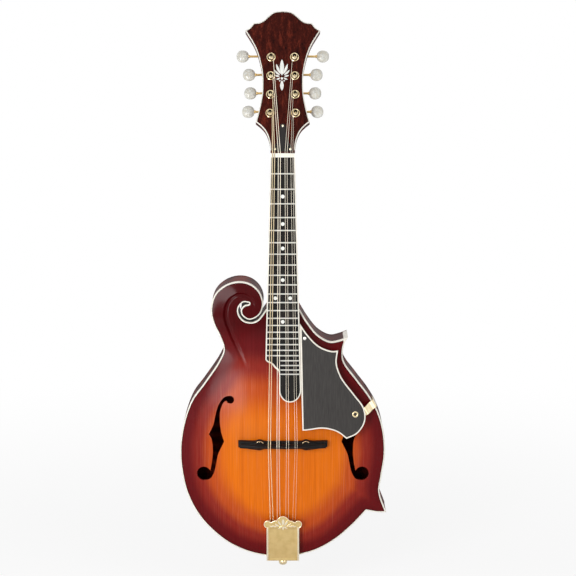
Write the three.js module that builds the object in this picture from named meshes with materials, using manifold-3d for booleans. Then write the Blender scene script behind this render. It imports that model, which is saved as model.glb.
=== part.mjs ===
// An f-style mandolin as an assembly of separate pieces.
//
// Millimetres. +Z runs up the neck to the headstock, the face looks along -Y and +X is the
// treble side. The origin is on the centre line, on the fingerboard's face, where the strings
// leave the nut. The body's rim stands square to the XZ plane; the neck and the headstock
// lean back from it in frames of their own.

import * as THREE from 'three';
import { mergeVertices } from 'three/addons/utils/BufferGeometryUtils.js';
import Module from 'manifold-3d';

const wasm = await Module();
wasm.setup();

const { degToRad } = THREE.MathUtils;

// Driving sizes.

// Fits
const seamGap = 0.1;               // bound edges and bearings
const glueGap = 0.3;           // seats inside the leaning frames
const runningGap = 0.3;         // round pieces that turn
const cutLength = 1;              // how far a cut passes the face that it opens

// Strings and scale
const scaleLength = 353;
const compensationLength = 2;         // the saddle stands this much further than the scale
const jointFret = 13;           // the body meets the neck here
const neckAngle = degToRad(4.5);
const headAngle = degToRad(18.5);
const nutStringHeight = 1.3;        // underside of the strings above the fingerboard's face
const saddleStringHeight = 4.4;

// Body
const bodyWidth = 255;
const bodyLength = 350;
const rimDepth = 38;
const rimThickness = 2.3;
const liningWidth = 4.7;
const liningDepth = 6;
const edgeThickness = 4.5;          // thickness of both plates
const topArchHeight = 11;
const backArchHeight = 12;
const archMarginWidth = 17.5;    // flat rim of the plates at the sides
const archMarginLength = 25;     // and at the ends
const archWidth = bodyWidth - 2 * archMarginWidth;
const archLength = bodyLength - 2 * archMarginLength;
const bindingWidth = 2;
const scrollRidgeHeight = 3;
const scrollRidgeWidth = 11;
const heelTabRadius = 11;
const tailBlockWidth = 58;
const tailBlockDepth = 16;
const toneBarWidth = 6;
const toneBarDepth = 11;
const toneBarLength = 190;
const eyeLargeRadius = 8.7;
const eyeSmallRadius = 4.9;

// Neck
const nutWidth = 29.8;
const nutLength = 5;
const nutHeight = 2.6;          // above the fingerboard's face
const boardTaper = 0.0513;      // width gained for each millimetre along the neck
const boardThickness = 4;
const boardBindingWidth = 1.5;
const boardLength = 0.8493 * scaleLength;         // to the tip of the extension
const boardStepLength = 0.6997 * scaleLength;     // to where the bass side steps in
const extensionWidth = -4.6;     // the bass edge of the extension
const fretCount = 24;
const fretWidth = 1.3;
const fretHeight = 1;
const nutNeckDepth = 15.5;
const jointNeckDepth = 18.5;
const tenonLength = 20;
const tenonWidth = 12;
const tenonFlareWidth = 2.5;
const tenonDepth = 30;
const rodRadius = 2.4;
const rodChannelWidth = 5.6;
const rodCentreDepth = 10;           // behind the fingerboard's face
const rodNutRadius = 3;
const rodNutLength = 6;
const rodNutStartLength = 8;          // past the strings' end of the nut

// Headstock
const headDropDepth = 3;             // its face lies this far behind the fingerboard's face
const headLength = 183;
const headWidth = 91.6;
const headThickness = 15;
const headplateThickness = 2.4;
const headBindingWidth = 1.6;
const coverThickness = 1.6;
const coverStartLength = 6.6;
const coverLength = 35;
const coverFootWidth = 24;
const coverTipWidth = 7.5;

// Tuning machines
const postPitch = 23.3;
const firstPostLength = 0.29836 * headLength;     // along the headstock from the nut
const postRadius = 3;
const postWaistRadius = 1.9;
const postHeight = 9.2;
const stringHoleRadius = 0.9;
const ferruleRadius = 5.4;
const ferruleHeight = 1.3;
const gearTeeth = 14;
const wormPitch = 1.82;
const wormPitchRadius = 2.35;
const toothHeight = 0.5;        // above and below the pitch line
const toothThickness = 0.72;
const threadThickness = 0.55;
const gearWidth = 3;
const wormTurns = 3;
const shaftRadius = 1.35;
const plateThickness = 1.2;
const plateWidth = 17;
const earThickness = 1.6;
const earHeight = 6.4;
const keyWidth = 14;
const keyLength = 14.6;
const keyThickness = 8;

// Bridge
const bridgeLength = 110;
const bridgeDepth = 9.5;
const bridgeBaseHeight = 5.5;
const wheelRadius = 6;
const wheelThickness = 2.2;
const wheelGap = 0.9;          // room under the wheels
const studSpacingWidth = 57;
const studRadius = 1.75;
const studLength = 7;
const saddleDropGap = 0.6;         // how far the wheels let the saddle down from here
const saddleLength = 106;
const saddleDepth = 6.5;

// Tailpiece
const tailGap = 0.68;           // between the soundboard and the crown of the tailpiece
const tailpieceWidth = 40.6;
const tailpieceLength = 58.5;
const tailBaseLength = 50;
const tailBaseThickness = 1.2;
const tailLegWidth = 26;
const tailLegLength = 34;
const tailCoverHeight = 8.9;    // its outer face above the base's underside
const tailCoverThickness = 0.9;
const tailBaseWidth = tailpieceWidth - 2 * (tailCoverThickness + runningGap);
const tailLipWidth = 2.2;
const tailEarRadius = 4.6;
const hookHeight = 4.5;
const hookWidth = 1.6;
const hookPlaceLength = 37;           // from the tail's edge
const endPinRadius = 5.2;
const endPinShaftRadius = 4;
const endPinHeadLength = 16;
const endPinTenonLength = 20;

// Pickguard
const guardWidth = 0.31373 * bodyWidth;
const guardGap = 15.9;          // from the neck joint to its top edge
const guardBridgeGap = 2.94;    // from its lowest point to the bridge
const guardThickness = 2;
const guardDropDepth = 1;            // behind the fingerboard's face
const bracketWidth = 9.8;
const bracketThickness = 1.2;
const bracketReachLength = 14;        // down the side of the rim

// Outlines, as shares.

// Body: runs between corners, shares of the width and of the length from the neck joint.
const bodyOutlineShares = [
  [[0.080, 0.000], [0.120, -0.048], [0.171, -0.093], [0.229, -0.115], [0.273, -0.110],
    [0.313, -0.099]],
  [[0.313, -0.099], [0.294, -0.130], [0.293, -0.182], [0.357, -0.251], [0.413, -0.305],
    [0.460, -0.365], [0.489, -0.435], [0.498, -0.519], [0.482, -0.606], [0.473, -0.662],
    [0.507, -0.738]],
  [[0.507, -0.738], [0.464, -0.738], [0.409, -0.731]],
  [[0.409, -0.731], [0.342, -0.785], [0.250, -0.843], [0.140, -0.885], [0.000, -0.902],
    [-0.131, -0.893], [-0.255, -0.857], [-0.357, -0.797], [-0.425, -0.734], [-0.476, -0.650],
    [-0.501, -0.530], [-0.487, -0.425], [-0.441, -0.326], [-0.383, -0.267], [-0.307, -0.184],
    [-0.286, -0.143], [-0.304, -0.097], [-0.334, -0.050], [-0.346, -0.002], [-0.326, 0.052],
    [-0.275, 0.086], [-0.210, 0.099], [-0.151, 0.089], [-0.108, 0.058], [-0.094, 0.017],
    [-0.113, -0.020], [-0.160, -0.037], [-0.194, -0.023], [-0.202, -0.003], [-0.185, 0.014],
    [-0.165, 0.018]],
  [[-0.166, 0.024], [-0.189, 0.025], [-0.212, 0.006], [-0.211, -0.017], [-0.189, -0.039],
    [-0.153, -0.046], [-0.121, -0.038], [-0.080, 0.000]],
];
const bodyOutlineSteps = [6, 14, 2, 36, 8];

// Left sound hole, shares of the body from the centre line and the bridge.
const soundHoleShares = [
  [[-0.255, 0.169], [-0.282, 0.164], [-0.309, 0.138], [-0.325, 0.104], [-0.337, 0.063],
    [-0.359, 0.028]],
  [[-0.359, 0.028], [-0.346, 0.009], [-0.341, -0.021], [-0.343, -0.060], [-0.355, -0.111]],
  [[-0.385, -0.142], [-0.355, -0.136], [-0.335, -0.111], [-0.324, -0.077], [-0.315, -0.045],
    [-0.285, 0.003]],
  [[-0.285, 0.003], [-0.299, 0.037], [-0.306, 0.090], [-0.300, 0.123], [-0.281, 0.148],
    [-0.255, 0.153]],
];
const upperEyeShare = [-0.255, 0.155];
const lowerEyeShare = [-0.385, -0.117];

// Regions of the body that hold its blocks, shares from the neck joint.
const headBlockShares = [[-0.376, 0.133], [0.137, 0.133], [0.137, -0.102], [-0.118, -0.107],
  [-0.243, -0.079], [-0.376, -0.062]];
const hornBlockShares = [[0.235, -0.082], [0.373, -0.082], [0.373, -0.170], [0.259, -0.170]];
const pointBlockShares = [[0.424, -0.679], [0.533, -0.679], [0.533, -0.759], [0.376, -0.759]];
const hornCapShares = [[0.292, -0.080], [0.345, -0.080], [0.345, -0.118], [0.292, -0.118]];
const archCentreShare = -0.467;
const toneBarShares = [[-0.118, -0.46], [0.150, -0.46]];

// Crest of the scroll, shares from the neck joint.
const scrollCrestShares = [[-0.225, -0.150], [-0.262, -0.085], [-0.288, -0.020], [-0.268, 0.035],
  [-0.215, 0.061], [-0.160, 0.052], [-0.133, 0.022], [-0.139, -0.001]];

// Right half of the headstock, shares of its width and length.
const headOutlineShares = [
  [[0.160, 0.000], [0.167, 0.076], [0.192, 0.134], [0.239, 0.183], [0.302, 0.217],
    [0.358, 0.239]],
  [[0.358, 0.239], [0.337, 0.277], [0.302, 0.353], [0.276, 0.430], [0.271, 0.499],
    [0.275, 0.569], [0.299, 0.639], [0.337, 0.709], [0.390, 0.772], [0.500, 0.864]],
  [[0.500, 0.864], [0.440, 0.883], [0.388, 0.915]],
  [[0.388, 0.915], [0.303, 0.921], [0.249, 0.936], [0.194, 0.962], [0.114, 0.991],
    [0.000, 1.000]],
];
const headOutlineSteps = [4, 8, 2, 5];

// Posts and keys: distances from the centre line, as shares of the pitch.
const postSideShares = [0.665, 0.644, 0.627, 0.614];
const keyReachShares = [1.812, 1.704, 1.777, 2.116];

// Pickguard, shares of its size from its top corner at the fingerboard.
const guardShares = [
  [[0.000, 0.000], [0.123, -0.103], [0.284, -0.194], [0.474, -0.237], [0.576, -0.234]],
  [[0.576, -0.234], [0.552, -0.343], [0.621, -0.466], [0.812, -0.615], [0.953, -0.731],
    [0.964, -0.848], [0.844, -0.952], [0.675, -0.999]],
  [[0.675, -0.999], [0.536, -0.940], [0.330, -0.910], [0.051, -0.927]],
];
const guardSteps = [6, 14, 6];
const bracketShare = [0.967, -0.765];

// Tailpiece cover, right half of its crown: shares of its half width and its length.
const crownShares = [[0.000, 1.000], [0.160, 0.985], [0.300, 0.945], [0.400, 0.905],
  [0.560, 0.893], [0.700, 0.865], [0.800, 0.855]];

// Strings: diameter, then places at the nut, the saddle and the tail, and the post that
// takes each, counted from the nut up. Bass to treble.
const strings = [
  { size: 0.98, nut: -12.25, saddle: -17.8, tail: -15.4, post: 0 },
  { size: 0.98, nut: -9.65, saddle: -15.1, tail: -11.8, post: 1 },
  { size: 0.66, nut: -5.3, saddle: -7.2, tail: -6.9, post: 2 },
  { size: 0.66, nut: -2.7, saddle: -4.5, tail: -3.4, post: 3 },
  { size: 0.41, nut: 2.7, saddle: 4.5, tail: 3.4, post: 3 },
  { size: 0.41, nut: 5.3, saddle: 7.2, tail: 6.9, post: 2 },
  { size: 0.3, nut: 9.65, saddle: 15.1, tail: 11.8, post: 1 },
  { size: 0.3, nut: 12.25, saddle: 17.8, tail: 15.4, post: 0 },
];
const windingTurns = 2.25;
const windingGap = 0.5;         // between the turns on a post
const windingStartHeight = 2.7;       // underside of the first turn above the headstock's face
const stepsPerTurn = 8;
const stringSides = 5;

// Materials.

const material = (color, roughness, metalness = 0) =>
  new THREE.MeshStandardMaterial({ color, roughness, metalness });
const sunburst = material(0xb85a22, 0.25);
const redWood = material(0x6e1a16, 0.3);
const blockWood = material(0xc9a577, 0.7);
const cream = material(0xf0e9da, 0.4);
const rosewood = material(0x4a1c14, 0.4);
const ebony = material(0x1c1a1a, 0.45);
const guardBlack = material(0x444342, 0.4);
const bone = material(0xf3efe4, 0.45);
const gold = material(0xc8aa6a, 0.35, 1);
const steel = material(0xb9bcc0, 0.35, 1);
const bronze = material(0xb58a4f, 0.4, 1);
const pearl = material(0xe6ebe6, 0.25);

// Tools for shapes.

const weld = 1e-4;

function signedVolume(position, index) {
  const a = new THREE.Vector3();
  const b = new THREE.Vector3();
  const c = new THREE.Vector3();
  let sum = 0;
  for (let i = 0; i < index.length; i += 3) {
    a.fromArray(position, index[i] * 3);
    b.fromArray(position, index[i + 1] * 3);
    c.fromArray(position, index[i + 2] * 3);
    sum += a.dot(b.cross(c)) / 6;
  }
  return sum;
}

// A closed geometry with its faces pointing out, in the frame that the matrix gives.
function closed(geometry, matrix) {
  const bare = geometry.clone();
  bare.deleteAttribute('normal');
  bare.deleteAttribute('uv');
  if (matrix) bare.applyMatrix4(matrix);
  const merged = mergeVertices(bare, weld);
  const index = merged.index.array;
  if (signedVolume(merged.attributes.position.array, index) < 0) {
    for (let i = 0; i < index.length; i += 3) [index[i], index[i + 1]] = [index[i + 1], index[i]];
  }
  return merged;
}

function solid(geometry, matrix) {
  const shape = closed(geometry, matrix);
  return new wasm.Manifold(new wasm.Mesh({
    numProp: 3,
    vertProperties: Float32Array.from(shape.attributes.position.array),
    triVerts: Uint32Array.from(shape.index.array),
  }));
}

function geometryOf(body) {
  const mesh = body.getMesh();
  const geometry = new THREE.BufferGeometry();
  geometry.setAttribute('position', new THREE.BufferAttribute(mesh.vertProperties, 3));
  geometry.setIndex(new THREE.BufferAttribute(mesh.triVerts, 1));
  return geometry;
}

const join = (...bodies) => bodies.reduce((all, body) => all.add(body));
const cut = (body, ...tools) => tools.reduce((rest, tool) => rest.subtract(tool), body);

// A smooth line through the points of each run, with a corner where two runs meet.
function smoothLine(runs, steps) {
  const line = [];
  runs.forEach((run, i) => {
    const points = run.map(([x, z]) => new THREE.Vector3(x, z, 0));
    const curve = new THREE.CatmullRomCurve3(points, false, 'centripetal');
    const samples = curve.getPoints(steps[i]).map((p) => [p.x, p.y]);
    const last = line.at(-1);
    const meets = last && Math.hypot(last[0] - samples[0][0], last[1] - samples[0][1]) < weld;
    line.push(...samples.slice(meets ? 1 : 0));
  });
  return line;
}

const mirrored = (line) => line.map(([x, z]) => [-x, z]);

// The point of a closed line that lies nearest to a place, and how far away it is.
function nearestOn(line, [x, z]) {
  let best = { away: Infinity };
  line.forEach(([ax, az], i) => {
    const [bx, bz] = line[(i + 1) % line.length];
    const span = (bx - ax) ** 2 + (bz - az) ** 2;
    const t = span ? ((x - ax) * (bx - ax) + (z - az) * (bz - az)) / span : 0;
    const k = Math.min(Math.max(t, 0), 1);
    const point = { x: ax + k * (bx - ax), z: az + k * (bz - az) };
    const away = Math.hypot(x - point.x, z - point.z);
    if (away < best.away) best = { ...point, away };
  });
  return best;
}

// An outline moved inward by a distance, or outward where that is negative. Points that
// come too near another stretch of the outline drop out.
function inset(line, distance) {
  if (!distance) return line;
  const area = THREE.ShapeUtils.area(line.map(([x, y]) => ({ x, y })));
  const side = Math.sign(area) * distance;
  const moved = line.map(([x, z], i) => {
    const [ax, az] = line.at(i - 1);
    const [bx, bz] = line[(i + 1) % line.length];
    const before = new THREE.Vector2(x - ax, z - az).normalize();
    const after = new THREE.Vector2(bx - x, bz - z).normalize();
    const normal = new THREE.Vector2(-before.y - after.y, before.x + after.x).normalize();
    const stretch = Math.max(normal.dot(new THREE.Vector2(-after.y, after.x)), 0.4);
    return [x + normal.x * side / stretch, z + normal.y * side / stretch];
  });
  return moved.filter((point) => nearestOn(line, point).away > Math.abs(distance) * 0.97);
}

// An outline in the XZ plane, carried from the front face to the back face.
function prism(line, front, back, holes = []) {
  const corners = line.map(([x, z]) => new THREE.Vector2(x, z));
  if (THREE.ShapeUtils.isClockWise(corners)) corners.reverse();
  const shape = new THREE.Shape(corners);
  shape.holes = holes.map((hole) => new THREE.Path(hole.map(([x, z]) => new THREE.Vector2(x, z))));
  const geometry = new THREE.ExtrudeGeometry(shape, { depth: back - front, bevelEnabled: false });
  geometry.rotateX(Math.PI / 2);
  geometry.translate(0, back, 0);
  return geometry;
}

// A box between two corners.
function block(x0, x1, y0, y1, z0, z1) {
  const geometry = new THREE.BoxGeometry(x1 - x0, y1 - y0, z1 - z0);
  geometry.translate((x0 + x1) / 2, (y0 + y1) / 2, (z0 + z1) / 2);
  return geometry;
}

// A round bar between two places on a line through a point, along 'x', 'y' or 'z'.
function bar(axis, radius, from, to, x, y, z, sides = 16) {
  const geometry = new THREE.CylinderGeometry(radius, radius, Math.abs(to - from), sides);
  geometry.translate(0, (from + to) / 2, 0);
  if (axis === 'x') geometry.rotateZ(-Math.PI / 2);
  if (axis === 'z') geometry.rotateX(Math.PI / 2);
  geometry.translate(x, y, z);
  return geometry;
}

// A closed skin over rings of points, with a fan over each end.
function loft(rings) {
  const count = rings[0].length;
  const points = rings.flat();
  const index = [];
  for (let i = 0; i + 1 < rings.length; i += 1) {
    for (let j = 0; j < count; j += 1) {
      const a = i * count + j;
      const b = i * count + (j + 1) % count;
      index.push(a, b, a + count, b, b + count, a + count);
    }
  }
  const fan = (start, turn) => {
    const ring = points.slice(start, start + count);
    const centre = ring.reduce((sum, p) => sum.add(p), new THREE.Vector3()).divideScalar(count);
    points.push(centre);
    for (let j = 0; j < count; j += 1) {
      const pair = [start + j, start + (j + 1) % count];
      index.push(...(turn ? pair : pair.reverse()), points.length - 1);
    }
  };
  const last = (rings.length - 1) * count;
  fan(0, false);
  fan(last, true);
  const geometry = new THREE.BufferGeometry().setFromPoints(points);
  geometry.setIndex(index);
  return geometry;
}

// A round tube through the points.
function tube(points, radius, sides) {
  const tangent = (i) => new THREE.Vector3()
    .subVectors(points[Math.min(i + 1, points.length - 1)], points[Math.max(i - 1, 0)])
    .normalize();
  const first = tangent(0);
  const up = Math.abs(first.x) < 0.9 ? new THREE.Vector3(1, 0, 0) : new THREE.Vector3(0, 1, 0);
  let normal = up.sub(first.clone().multiplyScalar(up.dot(first))).normalize();
  const rings = points.map((point, i) => {
    const along = tangent(i);
    normal = normal.clone().sub(along.clone().multiplyScalar(normal.dot(along))).normalize();
    const across = new THREE.Vector3().crossVectors(along, normal);
    return Array.from({ length: sides }, (_, k) => {
      const turn = (k / sides) * 2 * Math.PI;
      return point.clone()
        .addScaledVector(normal, radius * Math.cos(turn))
        .addScaledVector(across, radius * Math.sin(turn));
    });
  });
  return loft(rings);
}

function circle(x, z, radius, sides = 16) {
  return Array.from({ length: sides }, (_, i) => {
    const turn = (i / sides) * 2 * Math.PI;
    return [x + radius * Math.cos(turn), z + radius * Math.sin(turn)];
  });
}

const rectangle = (x0, x1, z0, z1) => [[x0, z0], [x1, z0], [x1, z1], [x0, z1]];

// Frames and places.

const fretPlace = (n) => -scaleLength * (1 - 2 ** (-n / 12));
const jointZ = fretPlace(jointFret);
const bridgeZ = -scaleLength;
const bodyPoint = ([x, z]) => [x * bodyWidth, jointZ + z * bodyLength];
const fromBridge = ([x, z]) => [x * bodyWidth, bridgeZ + z * bodyLength];
const bodyOutline = smoothLine(
  bodyOutlineShares.map((run) => run.map(bodyPoint)),
  bodyOutlineSteps,
);
const tailEnd = Math.min(...bodyOutline.map(([, z]) => z));
const guardTop = jointZ - guardGap;
const guardLength = guardTop - bridgeZ - bridgeDepth / 2 - guardBridgeGap;

const neckFrame = new THREE.Matrix4().makeRotationX(-neckAngle);
const headFrame = new THREE.Matrix4().makeRotationX(-headAngle).setPosition(0, headDropDepth, 0);
const archCentre = jointZ + archCentreShare * bodyLength;
const archExponent = 2.4;
const archFlare = 1.7;
const tailBaseBack = -edgeThickness - 0.6 * tailBaseThickness;
const crownRise = tailBaseBack + edgeThickness + topArchHeight * archAt(0, tailEnd + tailpieceLength) + tailGap;
const tailSlope = Math.asin(crownRise / tailpieceLength);
const tailFrame = new THREE.Matrix4().makeRotationX(tailSlope)
  .setPosition(0, tailBaseBack, tailEnd);

const root = new THREE.Group();
const neckGroup = new THREE.Group();
neckGroup.applyMatrix4(neckFrame);
const headGroup = new THREE.Group();
headGroup.applyMatrix4(headFrame);
const tailGroup = new THREE.Group();
tailGroup.applyMatrix4(tailFrame);
root.add(neckGroup, headGroup, tailGroup);

function add(group, name, shape, look) {
  const geometry = shape.isBufferGeometry ? closed(shape) : geometryOf(shape);
  geometry.computeVertexNormals();
  const mesh = new THREE.Mesh(geometry, look);
  mesh.name = name;
  group.add(mesh);
}

// Body.

function archAt(x, z) {
  const s = Math.hypot(x / (archWidth / 2), (z - archCentre) / (archLength / 2));
  return s < 1 ? (1 - s ** archExponent) ** archFlare : 0;
}

// The rings of the plates' inner faces, which nothing shows closely.
const insideShares = [0.45, 0.75, 1];

// A carved dome on a base plane; height is negative where it rises to the front.
function dome(base, height, foot, ringShares = [0.28, 0.5, 0.68, 0.85, 1]) {
  const sides = 24;
  const ring = (share, y) => Array.from({ length: sides }, (_, i) => {
    const turn = (i / sides) * 2 * Math.PI;
    const x = (archWidth / 2) * share * Math.cos(turn);
    const z = archCentre + (archLength / 2) * share * Math.sin(turn);
    return new THREE.Vector3(x, y ?? base + height * archAt(x, z), z);
  });
  const rings = ringShares.toReversed().map((share) => ring(share));
  return loft([ring(1, base + foot), ...rings]);
}

function soundHole(side) {
  const turn = (line) => (side < 0 ? line : mirrored(line));
  const line = smoothLine(soundHoleShares.map((run) => run.map(fromBridge)), [5, 4, 5, 5]);
  const front = -edgeThickness - topArchHeight - cutLength;
  const [ux, uz] = fromBridge(upperEyeShare);
  const [lx, lz] = fromBridge(lowerEyeShare);
  return join(
    solid(prism(turn(line), front, cutLength)),
    solid(prism(turn(circle(ux, uz, eyeSmallRadius, 12)), front, cutLength)),
    solid(prism(turn(circle(lx, lz, eyeLargeRadius, 14)), front, cutLength)),
  );
}

// The crest on the scroll: a low round ridge that follows the curl and fades at both ends.
function scrollRidge() {
  const points = scrollCrestShares.map(bodyPoint).map(([x, z]) => new THREE.Vector3(x, 0, z));
  const curve = new THREE.CatmullRomCurve3(points, false, 'centripetal');
  const count = 16;
  const rings = [];
  for (let i = 0; i <= count; i += 1) {
    const t = i / count;
    const swell = Math.sin(Math.PI * Math.min(0.04 + t, 1)) ** 0.6;
    const height = scrollRidgeHeight * Math.max(swell, 0.1);
    const half = (scrollRidgeWidth / 2) * (1 - 0.35 * t);
    const along = curve.getTangent(t);
    const across = new THREE.Vector3(-along.z, 0, along.x);
    const centre = curve.getPoint(t);
    const place = (share, rise) => centre.clone().addScaledVector(across, share * half)
      .setY(-edgeThickness + cutLength * 0.5 - rise);
    rings.push([place(-1, 0), place(-0.5, height * 0.8), place(0, height + cutLength * 0.5),
      place(0.5, height * 0.8), place(1, 0)]);
  }
  return loft(rings);
}

function makeBody() {
  const within = solid(prism(inset(bodyOutline, bindingWidth + seamGap),
    -edgeThickness - topArchHeight - cutLength, cutLength));
  const shell = solid(prism(inset(bodyOutline, bindingWidth + seamGap), -edgeThickness, 0));
  const raised = join(
    shell,
    solid(dome(-edgeThickness, -topArchHeight, cutLength)),
    solid(scrollRidge()),
  ).intersect(within);
  const below = solid(block(-bodyWidth, bodyWidth, 0, bodyLength, tailEnd - bodyLength, bodyLength));
  const binding = solid(prism(bodyOutline, -edgeThickness, 0, [inset(bodyOutline, bindingWidth)]));
  const holes = [soundHole(-1), soundHole(1)];
  const hollow = solid(dome(0, -topArchHeight, cutLength, insideShares));
  const top = cut(raised, below, binding, hollow, ...holes);
  add(root, 'soundboard', top, sunburst);
  add(root, 'top_binding', binding, cream);

  const backFace = rimDepth + edgeThickness;
  const tab = smoothTab();
  const backShell = join(
    solid(prism(bodyOutline, rimDepth, backFace)),
    solid(prism(tab, rimDepth, backFace)),
    solid(dome(backFace, backArchHeight, -cutLength)).intersect(
      solid(prism(bodyOutline, rimDepth, backFace + backArchHeight + cutLength)),
    ),
  );
  const back = cut(backShell, solid(dome(rimDepth, backArchHeight, -cutLength, insideShares)));
  add(root, 'back_plate', back, redWood);

  add(root, 'rim', makeRim(), redWood);
  add(root, 'horn_tip_cap', makeHornCap(), cream);
  add(root, 'head_block', makeHeadBlock(), blockWood);
  add(root, 'tail_block', makeTailBlock(), blockWood);
  ['bass', 'treble'].forEach((side, i) => add(root, `tone_bar_${side}`, makeToneBar(i), blockWood));
}

// The tab of the back plate that covers the heel.
function smoothTab() {
  const arc = Array.from({ length: 9 }, (_, i) => {
    const turn = (i / 8) * Math.PI;
    return [heelTabRadius * Math.cos(turn), jointZ + heelTabRadius * Math.sin(turn)];
  });
  return [...arc, [-heelTabRadius, jointZ - bindingWidth], [heelTabRadius, jointZ - bindingWidth]];
}

const region = (shares, gap = 0) => solid(prism(inset(shares.map(bodyPoint), -gap),
  -cutLength, rimDepth + cutLength));

const tailRegion = (gap) => solid(block(-tailBlockWidth / 2 - gap, tailBlockWidth / 2 + gap,
  -cutLength, rimDepth + cutLength, tailEnd - cutLength, tailEnd + rimThickness + tailBlockDepth + gap));

function tenon(gap) {
  const half = tenonWidth / 2;
  const deep = jointZ - tenonLength - gap;
  const front = glueGap - gap * 2;
  const line = [[-half - gap, jointZ + nutLength], [-half - gap, jointZ], [-half - tenonFlareWidth - gap, deep],
    [half + tenonFlareWidth + gap, deep], [half + gap, jointZ], [half + gap, jointZ + nutLength]];
  return solid(prism(line, front, tenonDepth + gap));
}

const pinHeight = rimDepth / 2;

function makeRim() {
  const wall = solid(prism(bodyOutline, 0, rimDepth, [inset(bodyOutline, rimThickness)]));
  const inner = inset(bodyOutline, rimThickness - seamGap);
  const blockEdge = jointZ + Math.min(...headBlockShares.map(([, z]) => z)) * bodyLength;
  const blockCorners = [bodyPoint(headBlockShares[4]), bodyPoint(headBlockShares[3])];
  const line = inset(bodyOutline, rimThickness + liningWidth).filter(([x, z]) => x > 0 || z < blockEdge);
  const lining = [...line, ...blockCorners];
  const linings = join(
    solid(prism(inner, 0, liningDepth, [lining])),
    solid(prism(inner, rimDepth - liningDepth, rimDepth, [lining])),
  );
  const fill = solid(prism(inner, 0, rimDepth));
  const blocks = join(
    fill.intersect(region(hornBlockShares)),
    fill.intersect(region(pointBlockShares)),
  );
  const pocket = solid(prism(inset(bodyOutline, rimThickness), -cutLength, rimDepth + cutLength));
  const inside = pocket.intersect(join(region(headBlockShares, glueGap), tailRegion(glueGap)));
  return cut(
    join(wall, cut(join(linings, blocks), inside)),
    tenon(glueGap),
    solid(bar('z', endPinShaftRadius + runningGap, tailEnd - cutLength, tailEnd + tailBlockDepth,
      0, pinHeight, 0)),
    region(hornCapShares, seamGap),
  );
}

function makeHornCap() {
  const whole = solid(prism(bodyOutline, 0, rimDepth));
  return whole.intersect(region(hornCapShares));
}

function makeHeadBlock() {
  const fill = solid(prism(inset(bodyOutline, rimThickness + seamGap), 0, rimDepth));
  return cut(fill.intersect(region(headBlockShares)), tenon(glueGap));
}

function makeTailBlock() {
  const fill = solid(prism(inset(bodyOutline, rimThickness + seamGap), 0, rimDepth));
  return cut(
    fill.intersect(tailRegion(0)),
    solid(bar('z', endPinShaftRadius + runningGap, tailEnd - cutLength,
      tailEnd + rimThickness + endPinTenonLength, 0, pinHeight, 0)),
  );
}

function makeToneBar(i) {
  const [x, z] = bodyPoint(toneBarShares[i]);
  const lean = degToRad(i ? 5 : -5);
  const under = solid(dome(0, -topArchHeight, cutLength, insideShares),
    new THREE.Matrix4().makeTranslation(0, glueGap, 0));
  const turn = new THREE.Matrix4().makeRotationY(lean).setPosition(x, 0, z);
  const half = toneBarWidth / 2;
  const stick = solid(block(-half, half, -toneBarDepth - cutLength, 0,
    -toneBarLength / 2, toneBarLength / 2), turn);
  return stick.intersect(under);
}

// Neck and fingerboard.

const boardHalf = (z) => (nutWidth + boardTaper * -z) / 2;

// The fingerboard seen from the front: a straight taper, a step on the bass side where the
// board turns into its narrow extension, and a round end.
function boardLine(start, margin) {
  const right = boardHalf(-boardLength) - margin;
  const left = extensionWidth + margin;
  const stepLeft = -boardHalf(-boardStepLength) + margin;
  const step = smoothLine([[
    [stepLeft, -boardStepLength + margin * 0.4],
    [stepLeft + boardBindingWidth * 1.6, -boardStepLength - boardBindingWidth * 1.8 + margin * 0.7],
    [(stepLeft + left) / 2 - boardBindingWidth, -boardStepLength - boardBindingWidth * 3.2 + margin],
    [(stepLeft + left) / 2 + boardBindingWidth * 2, -boardStepLength - boardBindingWidth * 6.6 + margin],
    [left - boardBindingWidth * 0.6, -boardStepLength - boardBindingWidth * 9.2 + margin],
    [left, -boardStepLength - boardBindingWidth * 12],
  ]], [8]);
  const middle = (left + right) / 2;
  const half = (right - left) / 2;
  const round = Array.from({ length: 11 }, (_, i) => {
    const turn = Math.PI + (i / 10) * Math.PI;
    return [middle + half * Math.cos(turn),
      -boardLength + margin + half * 1.15 * (1 + Math.sin(turn))];
  });
  return [[-boardHalf(-start) + margin, start], ...step, ...round,
    [boardHalf(-start) - margin, start]];
}

function makeFingerboard() {
  const end = -seamGap;
  const boundary = boardLine(end, 0);
  const inner = boardLine(end, boardBindingWidth + seamGap);
  const within = solid(prism(inner, -fretHeight, boardThickness / 2));
  const parts = [solid(prism(inner, 0, boardThickness))];
  for (let n = 1; n <= fretCount; n += 1) {
    const z = fretPlace(n);
    const half = boardHalf(z);
    const crown = [[-fretWidth / 2, boardThickness / 8], [-fretWidth / 4, -fretHeight],
      [fretWidth / 4, -fretHeight], [fretWidth / 2, boardThickness / 8]];
    const rings = [-half, half].map((x) => crown.map(([dz, y]) => new THREE.Vector3(x, y, z + dz)));
    parts.push(solid(loft(rings)).intersect(within));
  }
  add(neckGroup, 'fingerboard', join(...parts), ebony);

  const ring = cut(
    solid(prism(boundary, 0, boardThickness)),
    solid(prism(boardLine(cutLength, boardBindingWidth), -cutLength, boardThickness + cutLength)),
  );
  add(neckGroup, 'fingerboard_binding', ring, cream);
}

function makeNut() {
  const half = nutWidth / 2;
  const body = solid(block(-half, half, -nutHeight, boardThickness, 0, nutLength));
  const slots = strings.map(({ size, nut }) => {
    const wide = size / 2 + glueGap;
    return solid(block(nut - wide, nut + wide, -nutHeight - cutLength, -nutStringHeight + glueGap,
      -cutLength, nutLength + cutLength));
  });
  add(neckGroup, 'nut', cut(body, ...slots), bone);
}

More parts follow.
